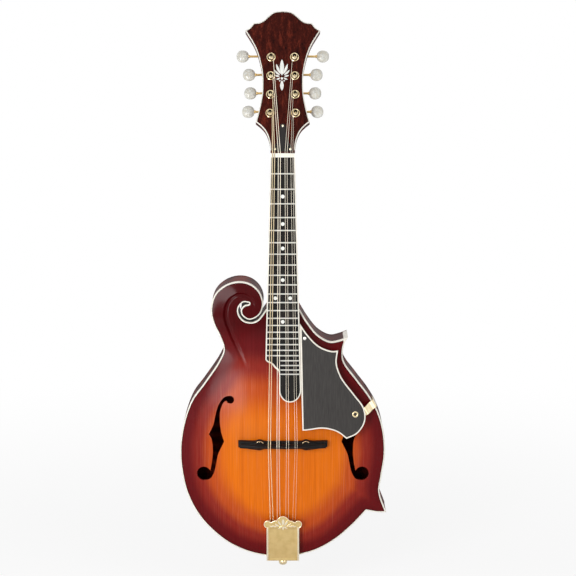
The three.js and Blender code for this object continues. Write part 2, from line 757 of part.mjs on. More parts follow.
// Depth of the neck behind the fingerboard, by share of the way to the joint.
const neckDepthShares = [[-0.045, 0.7], [0, 1], [0.1, 1.04], [0.66, 1.13]];
const heelDepthShares = [[0.8, 0.40], [0.86, 0.47], [0.885, 0.56], [0.905, 0.70],
  [0.925, 0.88], [0.96, 1.0], [1.06, 1.04]];

function makeNeck() {
  const front = boardThickness + glueGap;
  const joint = -jointZ;
  const heel = rimDepth + Math.sin(neckAngle) * joint;
  const rings = [
    ...neckDepthShares.map(([t, d]) => [t * joint, d * nutNeckDepth]),
    ...heelDepthShares.map(([t, d]) => [t * joint, Math.max(d * heel, jointNeckDepth)]),
  ].map(([z, depth]) => {
    const half = boardHalf(-z);
    return Array.from({ length: 11 }, (_, i) => {
      const turn = (i / 10) * Math.PI;
      const c = Math.cos(turn);
      return new THREE.Vector3(half * Math.sign(c) * Math.abs(c) ** 0.85,
        front + depth * Math.sin(turn) ** 0.85, -z);
    });
  });
  const shaft = solid(loft(rings), neckFrame);
  const tongue = solid(prism(boardLine(-joint * 0.9, boardBindingWidth * 1.5), front,
    front + nutNeckDepth), neckFrame);
  const head = solid(prism(headLine(), headplateThickness + glueGap, headThickness), headFrame);

  // What the neck must leave free: the body, and all that lies past the back plate.
  const outside = inset(bodyOutline, -glueGap);
  const body = join(
    solid(prism(outside, -edgeThickness - glueGap, rimDepth * 2)),
    solid(dome(-edgeThickness - glueGap, -topArchHeight, cutLength)),
    solid(block(-bodyWidth, bodyWidth, rimDepth - glueGap, rimDepth * 3, -bodyLength, bodyLength / 8)),
  );
  const open = solid(block(-nutWidth, nutWidth, -rimDepth, boardThickness + glueGap,
    -scaleLength, 0), neckFrame);
  const shelf = solid(block(-headWidth, headWidth, -rimDepth, boardThickness + glueGap,
    -cutLength, nutLength + glueGap), neckFrame);
  const veneer = solid(block(-headWidth, headWidth, -rimDepth, headplateThickness + glueGap,
    nutLength + glueGap, headLength * 2), headFrame);
  const channel = solid(block(-rodChannelWidth / 2, rodChannelWidth / 2, 0, rodCentreDepth + rodRadius + glueGap,
    -joint * 0.93, rodNutStartLength), neckFrame);
  const pocket = solid(block(-rodNutRadius - glueGap * 2, rodNutRadius + glueGap * 2,
    -boardThickness, rodCentreDepth + rodNutRadius + glueGap,
    rodNutStartLength - glueGap, rodNutStartLength + rodNutLength + cutLength), neckFrame);
  const bores = posts().map(({ x, z }) => solid(bar('y', postRadius + runningGap * 2,
    0, headThickness + cutLength, x, 0, z, 8), headFrame));
  const clear = cut(join(shaft, tongue, head), body, open, shelf, veneer, channel, pocket, ...bores);
  const rodGap = solid(block(-rodChannelWidth / 2, rodChannelWidth / 2, 0, rodCentreDepth + rodRadius + glueGap,
    -joint * 0.93, 0), neckFrame);
  add(root, 'neck', join(clear, cut(tenon(0), rodGap)), redWood);

  const rod = join(
    solid(bar('z', rodRadius, -joint * 0.92, rodNutStartLength + rodNutLength, 0, rodCentreDepth, 0, 12)),
    solid(bar('z', rodNutRadius, rodNutStartLength, rodNutStartLength + rodNutLength, 0, rodCentreDepth, 0, 6)),
  );
  add(neckGroup, 'truss_rod', rod, steel);
}

// Headstock.

function headLine() {
  const size = ([x, z]) => [x * headWidth, z * headLength];
  const right = smoothLine(headOutlineShares.map((run) => run.map(size)), headOutlineSteps);
  return [...right, ...mirrored(right).reverse().slice(1)];
}

// Places of the posts with the side that each is on: the bass row, then the treble row.
function posts() {
  return [-1, 1].flatMap((side) => postSideShares.map((share, i) => ({
    side,
    x: side * share * postPitch,
    z: firstPostLength + i * postPitch,
    reach: (keyReachShares[i] - share) * postPitch,
  })));
}

function makeHeadstock() {
  const start = nutLength + glueGap * 2;
  const outer = headLine();
  const above = solid(block(-headWidth, headWidth, -headThickness, headThickness, start, headLength * 2));
  const ring = solid(prism(outer, 0, headplateThickness, [inset(outer, headBindingWidth)]));
  add(headGroup, 'headstock_binding', ring.intersect(above), cream);

  const ferrules = posts().map(({ x, z }) => solid(prism(circle(x, z, ferruleRadius, 10),
    -ferruleHeight, headplateThickness / 2)));
  const bores = posts().map(({ x, z }) => solid(prism(circle(x, z, postRadius + runningGap, 8),
    -ferruleHeight - cutLength, headplateThickness + cutLength)));
  const access = solid(prism(rectangle(-rodNutRadius - glueGap * 2, rodNutRadius + glueGap * 2,
    coverStartLength + coverThickness, coverStartLength + nutLength * 3.2), -cutLength, headThickness));
  const face = solid(prism(inset(outer, headBindingWidth + seamGap), 0, headplateThickness));
  const plate = cut(join(face, ...ferrules).intersect(above), access, ...bores);
  add(headGroup, 'headplate', plate, rosewood);

  const half = coverFootWidth / 2;
  const tip = coverTipWidth / 2;
  const side = smoothLine([[[half, coverStartLength], [half * 0.92, coverStartLength + coverLength * 0.12],
    [half * 0.52, coverStartLength + coverLength * 0.4], [tip * 1.05, coverStartLength + coverLength * 0.78],
    [tip * 0.8, coverStartLength + coverLength * 0.95], [0, coverStartLength + coverLength]]], [12]);
  const bell = [...side, ...mirrored(side).reverse().slice(1)];
  add(headGroup, 'truss_rod_cover', prism(bell, -coverThickness - glueGap, -glueGap), ebony);
}

// Tuning machines.

const plateFront = headThickness + glueGap;
const plateBack = plateFront + plateThickness;
const gearRadius = gearTeeth * wormPitch / (2 * Math.PI);
const wormRise = gearRadius + wormPitchRadius;
const gearPlane = plateBack + runningGap + wormPitchRadius + toothHeight;
const earReach = wormPitch * (wormTurns / 2) + 1.4 * shaftRadius + earThickness / 2;
const windingRadius = (size) => postWaistRadius + runningGap + size / 2;

// A helical tooth ring on the post's axis: the teeth lean like the worm's thread.
function gearRings() {
  const lead = wormPitch / (2 * Math.PI * wormPitchRadius);
  const outline = [];
  for (let k = 0; k < gearTeeth; k += 1) {
    const middle = (k / gearTeeth) * 2 * Math.PI;
    [[-0.95, -1], [-0.62, 1], [0.62, 1], [0.95, -1]].forEach(([share, rise]) => {
      const angle = middle + (share * toothThickness) / 2 / gearRadius * (rise > 0 ? 1 : 1.15);
      outline.push([angle, gearRadius + rise * toothHeight * (rise > 0 ? 0.9 : 1.3)]);
    });
  }
  return [-1, 1].map((end) => {
    const y = gearPlane + (end * gearWidth) / 2;
    const twist = (end * gearWidth) / 2 * lead / gearRadius;
    return outline.map(([angle, radius]) => new THREE.Vector3(
      radius * Math.sin(angle + twist), y, radius * Math.cos(angle + twist)));
  });
}

function makePost(index, place, string) {
  const profile = [
    [0, -postHeight], [postRadius * 0.8, -postHeight], [postRadius, -postHeight * 0.92],
    [postWaistRadius, -postHeight * 0.8],
    [postWaistRadius, -windingStartHeight * 0.9], [postRadius, -ferruleHeight * 1.3],
    [postRadius, gearPlane - gearWidth / 2 + seamGap], [0, gearPlane - gearWidth / 2 + seamGap],
  ].map(([r, y]) => new THREE.Vector2(r, y));
  const spindle = solid(new THREE.LatheGeometry(profile, 8));
  const gear = solid(loft(gearRings()));
  const { angle, height } = string.hole;
  const turn = new THREE.Matrix4().makeRotationY(-angle).setPosition(0, -height, 0);
  const hole = solid(bar('x', stringHoleRadius, -postRadius * 2, postRadius * 2, 0, 0, 0, 5), turn);
  const body = cut(join(spindle, gear), hole);
  const group = new THREE.Group();
  group.position.set(place.x, 0, place.z);
  headGroup.add(group);
  add(group, `string_post_${index}`, body, gold);
}

// The worm: a right-handed thread on a plain core, its gap in line with the gear's tooth.
function makeWorm(index, place) {
  const tip = wormPitchRadius + toothHeight * 0.9;
  const steps = 8;
  const rings = [];
  for (let i = 0; i <= wormTurns * steps; i += 1) {
    const turns = i / steps - wormTurns / 2;
    const angle = turns * 2 * Math.PI;
    const x = turns * wormPitch + wormPitch / 2;
    const point = (dx, r) => new THREE.Vector3(x + dx, r * Math.sin(angle), -r * Math.cos(angle));
    const foot = threadThickness * 0.75;
    const edge = threadThickness * 0.32;
    const deep = shaftRadius * 0.85;
    rings.push([point(-foot, deep), point(-edge, tip), point(edge, tip), point(foot, deep)]);
  }
  const side = place.side;
  const outer = earReach + earThickness / 2 + seamGap;
  const reach = place.reach - keyLength * 0.22;
  const profile = [[0, -outer - shaftRadius], [shaftRadius * 1.5, -outer - shaftRadius],
    [shaftRadius * 1.5, -outer], [shaftRadius, -outer], [shaftRadius, reach], [0, reach]]
    .map(([r, x]) => new THREE.Vector2(r, x));
  const spindle = new THREE.LatheGeometry(profile, steps);
  spindle.rotateZ(-side * Math.PI / 2);
  const shaft = join(solid(spindle), solid(loft(rings)));
  const group = new THREE.Group();
  group.position.set(place.x, gearPlane, place.z + wormRise);
  headGroup.add(group);
  add(group, `worm_shaft_${index}`, shaft, gold);

  const knob = new THREE.SphereGeometry(keyLength / 2, 8, 5);
  knob.rotateZ(Math.PI / 2);
  knob.scale(1, keyThickness / keyLength, keyWidth / keyLength);
  knob.translate(side * place.reach, 0, 0);
  const neckEnd = side * (place.reach - keyLength * 0.58);
  const collar = solid(bar('x', shaftRadius * 1.7, neckEnd, side * place.reach, 0, 0, 0, 8));
  const socketEnd = side * (place.reach - keyLength * 0.22 + glueGap);
  const socket = solid(bar('x', shaftRadius + glueGap, 0, socketEnd, 0, 0, 0, 8));
  add(group, `tuner_button_${index}`, cut(join(solid(knob), collar), socket), pearl);
}

// A long plate behind each row, with a pair of ears for each worm shaft.
function makeTunerPlate(side, name) {
  const row = posts().filter((place) => place.side === side);
  const low = row[0].z - postPitch * 0.42;
  const high = row.at(-1).z + wormRise + earHeight;
  const slant = (row.at(-1).x - row[0].x) / (row.at(-1).z - row[0].z);
  const centre = (z) => row[0].x + slant * (z - row[0].z);
  const half = plateWidth / 2;
  const chamfer = half / 2;
  const line = [[centre(low) - half + chamfer, low], [centre(low) + half - chamfer, low],
    [centre(low) + half, low + chamfer], [centre(high) + half, high - chamfer],
    [centre(high) + half - chamfer, high], [centre(high) - half + chamfer, high],
    [centre(high) - half, high - chamfer], [centre(low) - half, low + chamfer]];
  const ears = row.flatMap(({ x, z }) => [-1, 1].map((end) => {
    const middle = x + end * earReach;
    const rise = z + wormRise;
    return solid(block(middle - earThickness / 2, middle + earThickness / 2, plateFront,
      gearPlane + earHeight / 2, rise - earHeight / 2, rise + earHeight / 2));
  }));
  const bores = row.flatMap(({ x, z }) => [
    solid(bar('y', postRadius + runningGap * 2, plateFront - cutLength, plateBack + cutLength, x, 0, z, 8)),
    solid(bar('x', shaftRadius + runningGap, -earReach * 1.5, earReach * 1.5,
      x, gearPlane, z + wormRise, 6)),
  ]);
  const plate = cut(join(solid(prism(line, plateFront, plateBack)), ...ears), ...bores);
  add(headGroup, name, plate, gold);
}

// Strings.

const inNeck = (x, y, z) => new THREE.Vector3(x, y, z).applyMatrix4(neckFrame);
const inHead = (x, y, z) => new THREE.Vector3(x, y, z).applyMatrix4(headFrame);
const toHead = headFrame.clone().invert();

// The winding on a post, in the headstock's frame: from the tangent where the string
// arrives, up the post in even turns, and in through the hole.
function winding(string, place) {
  const radius = windingRadius(string.size);
  const pitch = string.size + windingGap;
  const arrive = inNeck(string.nut, -nutStringHeight - string.size / 2, nutLength).applyMatrix4(toHead);
  const dx = arrive.x - place.x;
  const dz = arrive.z - place.z;
  const away = Math.atan2(dz, dx);
  const open = Math.acos(radius / Math.hypot(dx, dz));
  const spin = -place.side;              // the bass row winds one way, the treble row the other
  const first = away + spin * open;
  const low = windingStartHeight + string.size / 2;
  const leadIn = 1;
  const count = Math.round(windingTurns * stepsPerTurn);
  const points = [];
  for (let i = 0; i <= count; i += 1) {
    const turn = (i / stepsPerTurn) * 2 * Math.PI;
    points.push({ r: radius, angle: first + spin * turn, height: low + pitch * turn / (2 * Math.PI) });
  }
  const last = points.at(-1);
  for (let i = 1; i <= 4; i += 1) {
    const u = i / 4;
    const angle = last.angle + spin * leadIn * (1 - (1 - u) ** 3);
    const height = last.height + pitch * leadIn * (1 - (1 - u) ** 3) / (2 * Math.PI);
    points.push({ r: string.size / 2 + (radius - string.size / 2) * Math.cos(u * Math.PI / 2),
      angle, height });
  }
  const end = points.at(-1);
  const path = points.map(({ r, angle, height }) =>
    new THREE.Vector3(place.x + r * Math.cos(angle), -height, place.z + r * Math.sin(angle)));
  return { path, hole: { angle: end.angle, height: end.height } };
}

// The least gap that a winding keeps to itself, measured between points half a turn apart
// or more.
function leastGap(path, size) {
  let least = Infinity;
  path.forEach((a, i) => path.slice(i + stepsPerTurn / 2).forEach((b) => {
    least = Math.min(least, a.distanceTo(b) - size);
  }));
  return least;
}

function makeStrings() {
  const all = posts();
  return strings.map((string, i) => {
    const row = i < strings.length / 2 ? 0 : postSideShares.length;
    const place = all[row + string.post];
    const { path, hole } = winding(string, place);
    const half = string.size / 2;
    const saddle = inNeck(string.saddle, -saddleStringHeight - half, -scaleLength - compensationLength);
    const tail = new THREE.Vector3(string.tail, -tailBaseThickness - hookHeight * 0.55,
      hookPlaceLength + hookWidth / 2 + half + glueGap).applyMatrix4(tailFrame);
    const line = [
      tail,
      saddle,
      inNeck(string.nut, -nutStringHeight - half, 0),
      inNeck(string.nut, -nutStringHeight - half, nutLength),
      ...path.map((p) => p.clone().applyMatrix4(headFrame)),
    ];
    const look = i < 2 ? bronze : steel;
    add(root, `string_${i + 1}`, tube(line, half, stringSides), look);
    return { place, hole, gap: leastGap(path, string.size) };
  });
}

// Bridge.

const bridgeFoot = -edgeThickness - topArchHeight * archAt(0, bridgeZ);
const baseTop = bridgeFoot - bridgeBaseHeight;
const saddleTop = inNeck(0, -saddleStringHeight, -scaleLength - compensationLength);
const wheelBack = baseTop - wheelGap;
const wheelFront = wheelBack - wheelThickness;
const saddleBottom = wheelFront - glueGap;

function makeBridge() {
  const half = bridgeLength / 2;
  const z = bridgeZ;
  const side = [[half, bridgeDepth * 0.28], [half * 0.93, bridgeDepth * 0.42],
    [studSpacingWidth / 2 + wheelRadius, bridgeDepth * 0.42], [studSpacingWidth / 2, bridgeDepth * 0.58],
    [studSpacingWidth / 2 - wheelRadius, bridgeDepth * 0.42], [0, bridgeDepth * 0.42]];
  const upper = smoothLine([side], [12]);
  const lower = upper.map(([x, d]) => [x, -d]).reverse();
  const right = [...lower, ...upper].map(([x, d]) => [x, z + d]);
  const outline = [...right, ...mirrored(right).reverse().slice(1, -1)];
  const slab = solid(prism(inset(outline, seamGap), baseTop, -edgeThickness));
  const under = solid(dome(-edgeThickness - glueGap, -topArchHeight, rimDepth));
  const studs = [-1, 1].map((end) => solid(bar('y', studRadius, baseTop - studLength,
    baseTop + cutLength, end * studSpacingWidth / 2, 0, z, 10)));
  const slope = [-1, 1].map((end) => {
    const wedge = [[studSpacingWidth / 2 + wheelRadius * 1.3, baseTop - cutLength],
      [half + cutLength, baseTop - cutLength], [half + cutLength, baseTop + bridgeBaseHeight * 0.35],
      [studSpacingWidth / 2 + wheelRadius * 1.3, baseTop]];
    const rings = [z - bridgeDepth, z + bridgeDepth].map((at) =>
      wedge.map(([x, y]) => new THREE.Vector3(end * x, y, at)));
    return solid(loft(rings));
  });
  const base = join(cut(slab, under, ...slope), ...studs);
  add(root, 'bridge_base', base, ebony);

  ['bass', 'treble'].forEach((name, i) => {
    const x = (i ? 1 : -1) * studSpacingWidth / 2;
    const rim = Array.from({ length: 24 }, (_, k) => {
      const turn = (k / 24) * 2 * Math.PI;
      const r = wheelRadius - (k % 2) * seamGap * 4;
      return [r * Math.cos(turn), r * Math.sin(turn)];
    });
    const wheel = prism(rim, -wheelThickness / 2, wheelThickness / 2,
      [circle(0, 0, studRadius + runningGap, 12)]);
    const group = new THREE.Group();
    group.position.set(x, (wheelBack + wheelFront) / 2, z);
    root.add(group);
    add(group, `thumbwheel_${name}`, wheel, gold);
  });

  // The saddle: a long bar, low at its ends, thin along its top edge.
  const end = saddleLength / 2;
  const top = saddleTop.y + glueGap;
  const shoulder = Math.abs(strings[0].saddle) * 1.45;
  const height = saddleBottom - top;
  const face = smoothLine([[[-end, saddleBottom - height * 0.4], [-end * 0.8, saddleBottom - height * 0.62],
    [-shoulder, top], [shoulder, top], [end * 0.8, saddleBottom - height * 0.62],
    [end, saddleBottom - height * 0.4]]], [18]).map(([x, y]) => [x, Math.max(y, top)]);
  const profile = [[end, saddleBottom], [-end, saddleBottom], ...face];
  const rings = [-1, 1].map((s) => profile.map(([x, y]) =>
    new THREE.Vector3(x, y, saddleTop.z + s * saddleDepth / 2)));
  const bevel = [-1, 1].map((s) => {
    const line = [[s * saddleDepth, top - cutLength], [s * saddleDepth, top + height * 0.5],
      [s * saddleDepth / 2, top + height * 0.5], [s * saddleDepth / 7, top - seamGap],
      [s * saddleDepth / 7, top - cutLength]];
    const wedge = [-end - cutLength, end + cutLength].map((x) =>
      line.map(([dz, y]) => new THREE.Vector3(x, y, saddleTop.z + dz)));
    return solid(loft(wedge));
  });
  const holes = [-1, 1].map((s) => solid(prism(circle(s * studSpacingWidth / 2, z,
    studRadius + runningGap, 12), baseTop - studLength - saddleDropGap - glueGap, saddleBottom + cutLength)));
  add(root, 'bridge_saddle', cut(solid(capped(rings)), ...bevel, ...holes), ebony);
}

// A prism between two equal outlines of any shape.
function capped([near, far]) {
  if (THREE.ShapeUtils.isClockWise(near)) {
    near.reverse();
    far.reverse();
  }
  const faces = THREE.ShapeUtils.triangulateShape(near.map((p) => new THREE.Vector2(p.x, p.y)), []);
  const count = near.length;
  const index = [];
  faces.forEach(([a, b, c]) => index.push(a, c, b, a + count, b + count, c + count));
  for (let i = 0; i < count; i += 1) {
    const j = (i + 1) % count;
    index.push(i, j, i + count, j, j + count, i + count);
  }
  const geometry = new THREE.BufferGeometry().setFromPoints([...near, ...far]);
  geometry.setIndex(index);
  return geometry;
}

// Tailpiece and end pin.

function makeTailpiece() {
  const half = tailBaseWidth / 2;
  const plate = solid(block(-half, half, -tailBaseThickness, 0, 0, tailBaseLength), tailFrame);
  const bendZ = tailEnd - seamGap * 5;
  const legHalf = tailLegWidth / 2;
  const leg = solid(block(-legHalf, legHalf, tailBaseBack - tailBaseThickness * 1.6,
    tailBaseBack + tailLegLength, bendZ - tailBaseThickness, bendZ));
  const knee = solid(block(-legHalf, legHalf, tailBaseBack - tailBaseThickness, tailBaseBack,
    bendZ - tailBaseThickness, tailEnd + cutLength));
  const hooks = strings.map(({ tail }) => solid(block(tail - hookWidth / 2, tail + hookWidth / 2,
    -tailBaseThickness - hookHeight, -seamGap, hookPlaceLength - hookWidth / 2, hookPlaceLength + hookWidth / 2),
  tailFrame));
  const bore = solid(bar('z', endPinShaftRadius + runningGap, bendZ - tailBaseThickness - cutLength,
    bendZ + cutLength, 0, pinHeight, 0));
  add(root, 'tailpiece_base', cut(join(plate, knee, leg, ...hooks), bore), gold);

  const wide = tailpieceWidth / 2;
  const right = crownShares.map(([x, z]) => [x * wide, z * tailpieceLength]);
  const earZ = tailpieceLength * 0.845;
  const earX = wide + tailEarRadius * 0.22 - tailEarRadius / 2;
  const ear = Array.from({ length: 8 }, (_, i) => {
    const turn = degToRad(110 - i * 30);
    return [earX + tailEarRadius * Math.cos(turn), earZ - tailEarRadius / 3 + tailEarRadius * Math.sin(turn)];
  });
  const low = -tailEarRadius / 3;
  const shoulder = [[wide, earZ - tailEarRadius * 1.6], [wide, low]];
  const line = [...right, ...ear, ...shoulder];
  const crown = [...line, ...mirrored(line).reverse().slice(0, -1)];
  const panel = solid(prism(crown, -tailCoverHeight, -tailCoverHeight + tailCoverThickness));
  const walls = [-1, 1].map((s) => solid(block(s < 0 ? -wide : wide - tailCoverThickness,
    s < 0 ? -wide + tailCoverThickness : wide, -tailCoverHeight, 0,
    low, earZ - tailEarRadius * 1.6)));
  const lips = [-1, 1].map((s) => solid(block(s < 0 ? -wide : wide - tailLipWidth,
    s < 0 ? -wide + tailLipWidth : wide, -tailCoverHeight - tailCoverThickness / 2,
    -tailCoverHeight + tailCoverThickness, low, earZ - tailEarRadius * 1.6)));
  add(tailGroup, 'tailpiece_cover', join(panel, ...walls, ...lips), gold);

  const outer = bendZ - tailBaseThickness - seamGap;
  const profile = [[0, tailEnd + endPinTenonLength], [endPinShaftRadius * 0.9, tailEnd + endPinTenonLength],
    [endPinShaftRadius, outer], [endPinRadius * 0.95, outer], [endPinRadius * 0.72, outer - endPinHeadLength * 0.3],
    [endPinRadius * 0.75, outer - endPinHeadLength * 0.5], [endPinRadius, outer - endPinHeadLength * 0.7],
    [endPinRadius, outer - endPinHeadLength * 0.85], [endPinRadius * 0.7, outer - endPinHeadLength],
    [0, outer - endPinHeadLength]].map(([r, z]) => new THREE.Vector2(r, -z));
  const pin = new THREE.LatheGeometry(profile, 12);
  pin.rotateX(-Math.PI / 2);
  pin.translate(0, pinHeight, 0);
  add(root, 'end_pin', pin, gold);
}

// Pickguard.

const guardPoint = ([x, z]) => {
  const start = boardHalf(guardTop) + glueGap * 2;
  const lean = boardTaper / 2 * -z * guardLength;
  return [start + lean + x * guardWidth, guardTop + z * guardLength];
};

function makePickguard() {
  const line = smoothLine(guardShares.map((run) => run.map(guardPoint)), guardSteps);
  const corner = guardPoint([0, guardShares.at(-1).at(-1)[1]]);
  const outline = [...line, corner];
  add(neckGroup, 'pickguard', prism(outline, guardDropDepth, guardDropDepth + guardThickness), guardBlack);

  // The bracket: a strap from under the guard, out over the binding and down the side.
  const [gx, gz] = guardPoint(bracketShare);
  const edge = new THREE.Vector3(gx, guardDropDepth + guardThickness, gz).applyMatrix4(neckFrame);
  const nearest = nearestOn(bodyOutline, [edge.x, edge.z]);
  const turn = Math.atan2(nearest.z - edge.z, nearest.x - edge.x);
  const t = bracketThickness;
  const reach = nearest.away + glueGap;
  const strapBack = edge.y + glueGap + t + bracketWidth * Math.sin(neckAngle);
  const path = [[-bracketWidth, strapBack], [bracketWidth * 0.2, strapBack],
    [reach, -edgeThickness], [reach, bracketReachLength]];
  const outer = path.map(([u, y], i) => (i < 2 ? [u + t * 0.3 * i, y - t] : [u + t, y - t * (i === 2 ? 0.4 : 0)]));
  const profile = [...path, ...outer.reverse()];
  const rings = [-1, 1].map((s) => profile.map(([u, y]) => new THREE.Vector3(u, y,
    s * bracketWidth / 2)));
  const matrix = new THREE.Matrix4().makeRotationY(-turn).setPosition(edge.x, 0, edge.z);
  add(root, 'pickguard_bracket', solid(capped(rings), matrix), gold);
}

// The assembly.

makeBody();
makeFingerboard();
makeNut();
makeNeck();
makeHeadstock();
const wound = makeStrings();
wound.forEach(({ place, hole }, i) => {
  makePost(i + 1, place, { hole });
  makeWorm(i + 1, place);
});
makeTunerPlate(-1, 'tuner_plate_bass');
makeTunerPlate(1, 'tuner_plate_treble');
makeBridge();
makeTailpiece();
makePickguard();

const windings = wound.map(({ gap }) => gap.toFixed(2)).join(', ');
console.log(`least gap of each winding to itself, mm: ${windings}`);

export default root;
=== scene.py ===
"""The looks of an f-style mandolin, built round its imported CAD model.

Shapes are worked out in millimetres in four frames (body, neck, headstock, tailpiece) and
written into each mesh in metres. +Z runs up the neck, the face looks along -Y.
"""

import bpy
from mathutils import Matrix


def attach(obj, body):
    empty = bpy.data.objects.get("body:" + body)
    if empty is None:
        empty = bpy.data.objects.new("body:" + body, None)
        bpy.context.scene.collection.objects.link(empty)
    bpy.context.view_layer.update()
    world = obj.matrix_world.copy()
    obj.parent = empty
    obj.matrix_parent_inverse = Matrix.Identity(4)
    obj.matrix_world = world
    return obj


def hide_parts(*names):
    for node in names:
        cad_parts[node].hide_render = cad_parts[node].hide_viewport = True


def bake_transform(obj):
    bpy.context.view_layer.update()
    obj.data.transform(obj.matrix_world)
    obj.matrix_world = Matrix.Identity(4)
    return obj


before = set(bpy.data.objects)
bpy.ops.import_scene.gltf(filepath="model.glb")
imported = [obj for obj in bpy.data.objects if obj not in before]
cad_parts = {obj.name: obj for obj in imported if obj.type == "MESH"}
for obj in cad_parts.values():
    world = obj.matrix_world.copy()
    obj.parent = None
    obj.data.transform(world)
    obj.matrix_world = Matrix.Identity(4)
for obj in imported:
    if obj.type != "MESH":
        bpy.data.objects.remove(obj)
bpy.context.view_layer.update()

import math

import bpy
import numpy as np
from mathutils import Matrix, Vector
from mathutils.geometry import delaunay_2d_cdt
from mathutils.kdtree import KDTree

MM = 0.001
ROOT = "instrument"

# Sizes that the pieces share.
SCALE_LENGTH = 353.0
COMPENSATION = 2.0
NECK_ANGLE = math.radians(4.5)
HEAD_ANGLE = math.radians(18.5)
TAIL_SLOPE = math.radians(5.500643)
STRING_AT_NUT = 1.3
STRING_AT_SADDLE = 4.4
BODY_WIDTH, BODY_LENGTH = 255.0, 350.0
RIM_DEPTH = 38.0
RIM_WALL = 2.3
PLATE_EDGE = 4.5
TOP_ARCH, BACK_ARCH = 11.0, 12.0
ARCH_WIDTH, ARCH_LENGTH = 220.0, 300.0
BINDING = 2.0
DARK_LINE = 0.45
NUT_LENGTH = 5.0
NUT_WIDTH = 29.8
BOARD_TAPER = 0.0513
BOARD_THICKNESS = 4.0
BOARD_BINDING = 1.5
BOARD_END, BOARD_STEP, EXTENSION_LEFT = 299.8, 247.0, -4.6
HALF_AT_HEADPLATE, HALF_AT_VENEER = 14.9, 13.3
HEAD_DROP, HEAD_LENGTH, HEAD_WIDTH, HEAD_THICKNESS = 3.0, 183.0, 91.6, 15.0
HEADPLATE = 2.4
HEAD_BINDING = 1.6
POST_PITCH, FIRST_POST = 23.3, 54.6
POST_RADIUS, POST_WAIST = 3.0, 1.9
WORM_PITCH, WORM_PITCH_RADIUS, GEAR_TEETH, TOOTH_HEIGHT = 1.82, 2.35, 14, 0.5
SHAFT_RADIUS, WORM_TURNS, GEAR_FACE = 1.35, 3, 3.0
PLATE_FRONT, PLATE_THICKNESS = 15.3, 1.2
EAR_THICKNESS, EAR_HEIGHT = 1.6, 6.4
KEY_LENGTH, KEY_WIDTH, KEY_THICKNESS = 14.6, 14.0, 8.0
STUD_SPACING, THREAD_PITCH, THREAD_TURNS = 57.0, 0.8, 8
WHEEL_RADIUS, WHEEL_THICKNESS = 6.0, 2.2
FOOT_HALF, FOOT_DEPTH, FOOT_HEIGHT = 55.0, 9.5, 5.5
TAIL_WIDTH, TAIL_LENGTH = 40.6, 58.5
TAIL_BASE_THICKNESS, HOOK_HEIGHT, HOOK_WIDTH, HOOK_PLACE = 1.2, 4.5, 1.6, 37.0
COVER_FACE, COVER_THICKNESS = 8.9, 0.9
GUARD_LENGTH, GUARD_WIDTH = 143.0, 80.0
GUARD_FRONT, GUARD_BACK, GUARD_BINDING = 1.0, 3.0, 1.6
GAP = 0.3
CIRCLE = 2 * math.pi
# Faces of the flat pieces that meet at more than this angle, in degrees, meet in a crease.
CREASE = 50


def fret_place(n):
    return -SCALE_LENGTH * (1 - 2 ** (-n / 12))


JOINT = fret_place(13)
BRIDGE = -SCALE_LENGTH

NECK = Matrix.Rotation(-NECK_ANGLE, 4, "X")
HEAD = Matrix.Translation((0, HEAD_DROP, 0)) @ Matrix.Rotation(-HEAD_ANGLE, 4, "X")


# Lines in the plane of the face, as arrays of x and z.

def smooth_line(runs, per=7):
    """A smooth line through the points of each run, with a corner where two runs meet."""
    line = []
    for run in runs:
        p = [np.array(point, float) for point in run]
        q = [2 * p[0] - p[1], *p, 2 * p[-1] - p[-2]]
        for a, b, c, d in zip(q, q[1:], q[2:], q[3:]):
            ta, tb, tc = (max(np.linalg.norm(v) ** 0.5, 1e-4) for v in (b - a, c - b, d - c))
            m = ((b - a) / ta - (c - a) / (ta + tb) + (c - b) / tb) * tb
            n = ((c - b) / tb - (d - b) / (tb + tc) + (d - c) / tc) * tb
            for k in range(per):
                t = k / per
                cubic = (2 * b - 2 * c + m + n) * t ** 3
                line.append(b + t * m + (3 * c - 3 * b - 2 * m - n) * t ** 2 + cubic)
        line.append(p[-1])
    kept = [line[0]]
    for point in line[1:]:
        if np.linalg.norm(point - kept[-1]) > 1e-3:
            kept.append(point)
    return np.array(kept)


def scaled(shares, width, length, start=0.0):
    """Runs of points from shares of a width and of a length."""
    return [[(width * x, start + length * z) for x, z in run] for run in shares]


def mirrored(line):
    return line * (-1, 1)


def both_sides(right):
    """A line with its mirror image after it, the last point taken once."""
    return np.concatenate((right, mirrored(right)[::-1][1:]))


def distance_to(points, line, closed=True):
    """How far each point is from a line, and the share of the line's length at its foot."""
    a = np.asarray(line, float)
    b = np.roll(a, -1, axis=0)
    if not closed:
        a, b = a[:-1], b[:-1]
    span = b - a
    square = np.maximum((span ** 2).sum(1), 1e-12)
    steps = np.sqrt(square)
    start = np.concatenate(([0], np.cumsum(steps)[:-1]))
    out = np.empty(len(points))
    share = np.empty(len(points))
    for i in range(0, len(points), 2000):
        p = points[i:i + 2000, None, :]
        t = np.clip(((p - a) * span).sum(2) / square, 0, 1)
        d = np.linalg.norm(p - a - t[..., None] * span, axis=2)
        k = d.argmin(1)
        rows = np.arange(len(k))
        out[i:i + 2000] = d[rows, k]
        share[i:i + 2000] = (start[k] + t[rows, k] * steps[k]) / steps.sum()
    return out, share


def within(points, line):
    """Which points lie inside a closed line."""
    x, z = points[:, 0], points[:, 1]
    inside = np.zeros(len(points), bool)
    for (ax, az), (bx, bz) in zip(line, np.roll(line, -1, axis=0)):
        if az == bz:
            continue
        crosses = (az > z) != (bz > z)
        inside ^= crosses & (x < (bx - ax) * (z - az) / (bz - az) + ax)
    return inside


def area_of(line):
    after = np.roll(line, -1, axis=0)
    return 0.5 * (line[:, 0] * after[:, 1] - after[:, 0] * line[:, 1]).sum()


def turned_left(line):
    """A closed line that runs against the clock."""
    return line[::-1] if area_of(line) < 0 else line


